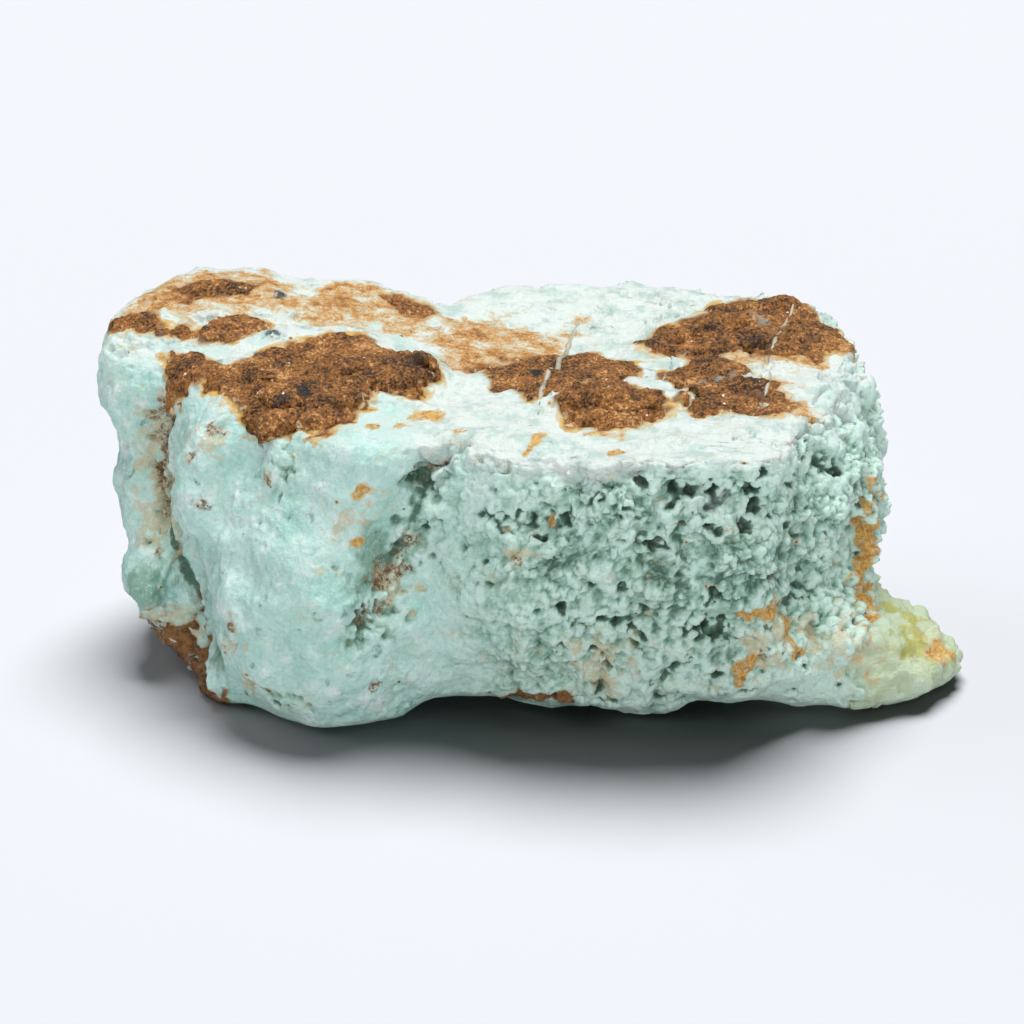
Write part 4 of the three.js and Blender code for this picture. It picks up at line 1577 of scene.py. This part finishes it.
    def _limonite(self, make: Palette, colour: Socket) -> Socket:
        """Adds the brown limonite below the stone, and under the rims of the crust."""
        share = make.uneven("limonite", 0.9, 2.2, 5.0, 0.7)
        light = make.ramp(make.clouds(1.8, 9.0, 0.9), 0.43, 0.55)
        brown = make.mixed(light, self.brown, self.limonite)
        brown = make.stepped(make.clouds(1.3, 7.0, 0.8), brown, (0.54, 0.62, self.cream))
        colour = make.stepped(share, colour, (0.85, 1.05, brown))
        return make.mixed(make.kept("crust"), colour, self.brown)


@dataclass(frozen=True)
class LimoniteFinish:
    """Limonite, earthy iron oxide: dull brown grit with black manganese and bright quartz specks."""

    # dark is both the grit's darkest tone and the painted shade of the crust's hollows.
    dark: str = "#2e1c0b"
    brown: str = "#6f4a21"
    orange: str = "#98612b"
    light: str = "#bd945f"
    cream: str = "#cdbf9b"
    slate: str = "#8b9690"
    black: str = "#191a1c"
    quartz: str = "#e4dfd2"

    def material(self) -> bpy.types.Material:
        """The material, which reads the attributes that the crust's mesh keeps."""
        make = Palette("Limonite, earthy crust")
        grit = make.sums("MULTIPLY_ADD", make.grit(0.22), 0.3, make.clouds(4.5, 3.0, 0.7))
        tone = make.sums("MULTIPLY_ADD", make.clouds(0.34, 2.0, 0.7), 0.6, grit)
        colour = make.stepped(tone, self.dark, (0.75, 0.93, self.brown), (0.93, 1.07, self.orange))
        colour = make.stepped(tone, colour, (1.08, 1.22, self.light))
        edge = make.uneven("edge", 2.0, 1.6, 6.0, 0.75)
        colour = make.stepped(edge, colour, (1.75, 1.95, self.orange), (2.0, 2.15, self.cream))
        # Painted shade: the crust's hollows are painted towards its darkest brown.
        colour = make.stepped(make.uneven("hollow", 0.6, 0.5, 3.0), colour, (0.75, 1.5, self.dark))
        colour = make.blotted(colour, self.slate, "slate", 1.2, 0.3, 0.8)
        colour = make.blotted(colour, self.black, "black", 0.8, 0.8)
        colour = make.specked(colour, self.black, 1.5, 0.32, 0.14)
        colour = make.specked(colour, self.quartz, 1.3, 0.19, 0.14)
        return make.finish(colour, make.clouds(0.3, 2.0, 0.7), 0.12, Roughness=0.9, IOR=1.5)


@dataclass(frozen=True)
class QuartzFinish:
    """Quartz in thin veinlets: milky, with greyer stretches at random."""

    milky: str = "#aaa592"
    grey_stretch: str = "#878372"

    def material(self) -> bpy.types.Material:
        """The material: pale and satin, with greyer stretches."""
        make = Palette("Quartz, milky veinlet")
        colour = make.stepped(make.clouds(1.6, 4.0, 0.7), self.milky, (0.52, 0.66, self.grey_stretch))
        return make.finish(colour, make.clouds(0.4, 3.0), 0.06, Roughness=0.45, IOR=1.54)


@dataclass(frozen=True)
class PaperFinish:
    """Grey card, matt, as a studio's seamless background; lamps of its own bring it to white."""

    colour: str = "#87888a"

    def material(self) -> bpy.types.Material:
        """The material."""
        material = bpy.data.materials.new("Grey card, matt")
        material.use_nodes = True
        shader = material.node_tree.nodes["Principled BSDF"]
        shader.inputs["Base Color"].default_value = linear(self.colour)
        shader.inputs["Roughness"].default_value = 0.9
        return material


# ---- Studio ----


class Side(Enum):
    """Where a light's rays come from, as a direction seen from the chunk."""

    ABOVE = (0.04, 0.22, 1.0)
    ABOVE_BEHIND = (0.04, 0.5, 1.0)
    FRONT = (-0.12, -1.0, 0.3)
    RIGHT = (1.0, -0.3, 0.5)
    LEFT = (-1.0, 0.35, 0.7)
    LOW_FRONT = (-0.1, -1.0, -0.45)


class Lit(Enum):
    """The two collections that have lights of their own, so that the shadow on the floor stays deep."""

    PART = "part"
    FLOOR = "stage"

    @classmethod
    def collections(cls) -> dict["Lit", bpy.types.Collection]:
        """Makes both collections in the scene."""
        made = {lit: bpy.data.collections.new(lit.value) for lit in cls}
        for collection in made.values():
            bpy.context.scene.collection.children.link(collection)
        return made


@dataclass(frozen=True)
class Softbox:
    """A soft light that covers all that it lights evenly.

    Attributes:
        name: Its name.
        side: Where its rays come from.
        spread: How wide it looks from the chunk, in degrees.
        strength: In watts a square metre.
        lit: The only things that it lights.
        colour: Of its light, as an sRGB hex code.
    """

    name: str
    side: Side
    spread: float
    strength: float
    lit: Lit
    colour: str = "#fbfcff"

    def place(self, lit: bpy.types.Collection) -> None:
        """Adds the light to the scene.

        Args:
            lit: The collection that it lights.
        """
        light = bpy.data.lights.new(self.name, "SUN")
        light.angle = math.radians(self.spread)
        light.energy = self.strength
        light.color = linear(self.colour)[:3]
        lamp = bpy.data.objects.new(self.name, light)
        bpy.context.scene.collection.objects.link(lamp)
        lamp.light_linking.receiver_collection = lit
        if self.side is Side.LOW_FRONT:
            # This one stands for what a table throws back up, so the floor doesn't stand in its way.
            lamp.light_linking.blocker_collection = lit
        turned(lamp, Vector(self.side.value), Vector())


SOFTBOXES = (
    Softbox("Overhead softbox", Side.ABOVE, 40.0, 3.9, Lit.PART),
    Softbox("Floor softbox", Side.ABOVE_BEHIND, 32.0, 11.2, Lit.FLOOR),
    Softbox("Left softbox", Side.LEFT, 50.0, 1.68, Lit.FLOOR),
    Softbox("Front fill", Side.FRONT, 70.0, 2.15, Lit.PART),
    Softbox("Right fill", Side.RIGHT, 50.0, 0.645, Lit.PART),
    Softbox("Table bounce", Side.LOW_FRONT, 70.0, 0.4, Lit.PART),
)


def turned(item: bpy.types.Object, place: Vector, aim: Vector) -> None:
    """Puts a light or camera at a place, looking at a point, both in metres."""
    item.location = place
    item.rotation_euler = (aim - place).to_track_quat("-Z", "Y").to_euler()


@dataclass
class Studio:
    """A pale floor, soft lights and the camera.

    Attributes:
        aim: The point that the camera looks at, in millimetres.
        elevation: The camera's angle above the horizon, in degrees.
        distance: From the aim to the camera, in millimetres.
        lens: Focal length for a 36 mm sensor, in millimetres.
        nearest: Distance at which the camera's view starts, in millimetres.
        floor_half: Half the floor's side, in metres.
        sky: Colour of the light from all round.
        ambient: Its strength.
    """

    aim: tuple[float, float, float] = (-1.76, -2.5, 15.3)
    elevation: float = 24.0
    distance: float = 420.0
    lens: float = 142.5
    nearest: float = 10.0
    floor_half: float = 3.0
    sky: str = "#f1f6ff"
    ambient: float = 0.02

    def build(self, collections: dict[Lit, bpy.types.Collection]) -> None:
        """Makes the floor, the lights, the world and the camera.

        Args:
            collections: What the lights light.
        """
        collections[Lit.FLOOR].objects.link(self._floor())
        for softbox in SOFTBOXES:
            softbox.place(collections[softbox.lit])
        world = bpy.data.worlds.new("Studio")
        world.use_nodes = True
        background = world.node_tree.nodes["Background"]
        background.inputs["Color"].default_value = linear(self.sky)
        background.inputs["Strength"].default_value = self.ambient
        bpy.context.scene.world = world
        bpy.context.scene.view_settings.view_transform = "Standard"
        bpy.context.scene.view_settings.look = "Medium Contrast"
        self._camera()

    def _floor(self) -> bpy.types.Object:
        """Makes the floor."""
        form = bmesh.new()
        bmesh.ops.create_grid(form, x_segments=1, y_segments=1, size=self.floor_half)
        floor = new_piece("floor", ended(form, "floor"))
        floor.data.materials.append(PaperFinish().material())
        return floor

    def _camera(self) -> None:
        """Adds the camera."""
        camera = bpy.data.cameras.new("camera")
        camera.lens = self.lens
        camera.clip_start = self.nearest * MM
        holder = bpy.data.objects.new("camera", camera)
        bpy.context.scene.collection.objects.link(holder)
        angle = math.radians(self.elevation)
        aim = Vector(self.aim) * MM
        back = Vector((0.0, -math.cos(angle), math.sin(angle))) * self.distance * MM
        turned(holder, aim + back, aim)
        bpy.context.scene.camera = holder


class Slot(Enum):
    """The part's two materials, as its record names them."""

    STONE = "chrysoprase"
    CRUST = "limonite_crust"


def add_to_part(piece: bpy.types.Object, material: bpy.types.Material, slot: Slot) -> None:
    """Dresses a finished piece and adds it to the part.

    Args:
        piece: The piece.
        material: What it is made of.
        slot: Which of the part's materials that is; not used.
    """
    piece.data.materials.clear()
    piece.data.materials.append(material)
    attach(piece, BODY)
    triangles = sum(len(face.vertices) - 2 for face in piece.data.polygons)
    log.info("%s: %d triangles", piece.name, triangles)


def main() -> None:
    """Builds everything in order."""
    logging.basicConfig(level=logging.INFO, format="%(name)s: %(message)s")
    collections = Lit.collections()
    Studio().build(collections)
    stone, plain = StoneBody().build()
    crust = LimoniteCrust().build(stone)
    grains = RoundGrains(Cover.FRONT).build(plain)
    back_grains = RoundGrains(Cover.BACK, longest=0.34, cuts=2).build(plain)
    veinlets = QuartzVeinlets().build([stone, crust])
    bpy.data.meshes.remove(plain)
    chrysoprase = ChrysopraseFinish().material()
    for piece in (stone, grains, back_grains):
        add_to_part(piece, chrysoprase, Slot.STONE)
    add_to_part(crust, LimoniteFinish().material(), Slot.CRUST)
    add_to_part(veinlets, QuartzFinish().material(), Slot.STONE)
    for piece in (stone, grains, back_grains, crust, veinlets):
        collections[Lit.PART].objects.link(piece)
    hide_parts(CHUNK_NODE)


if __name__ == "__main__":
    main()
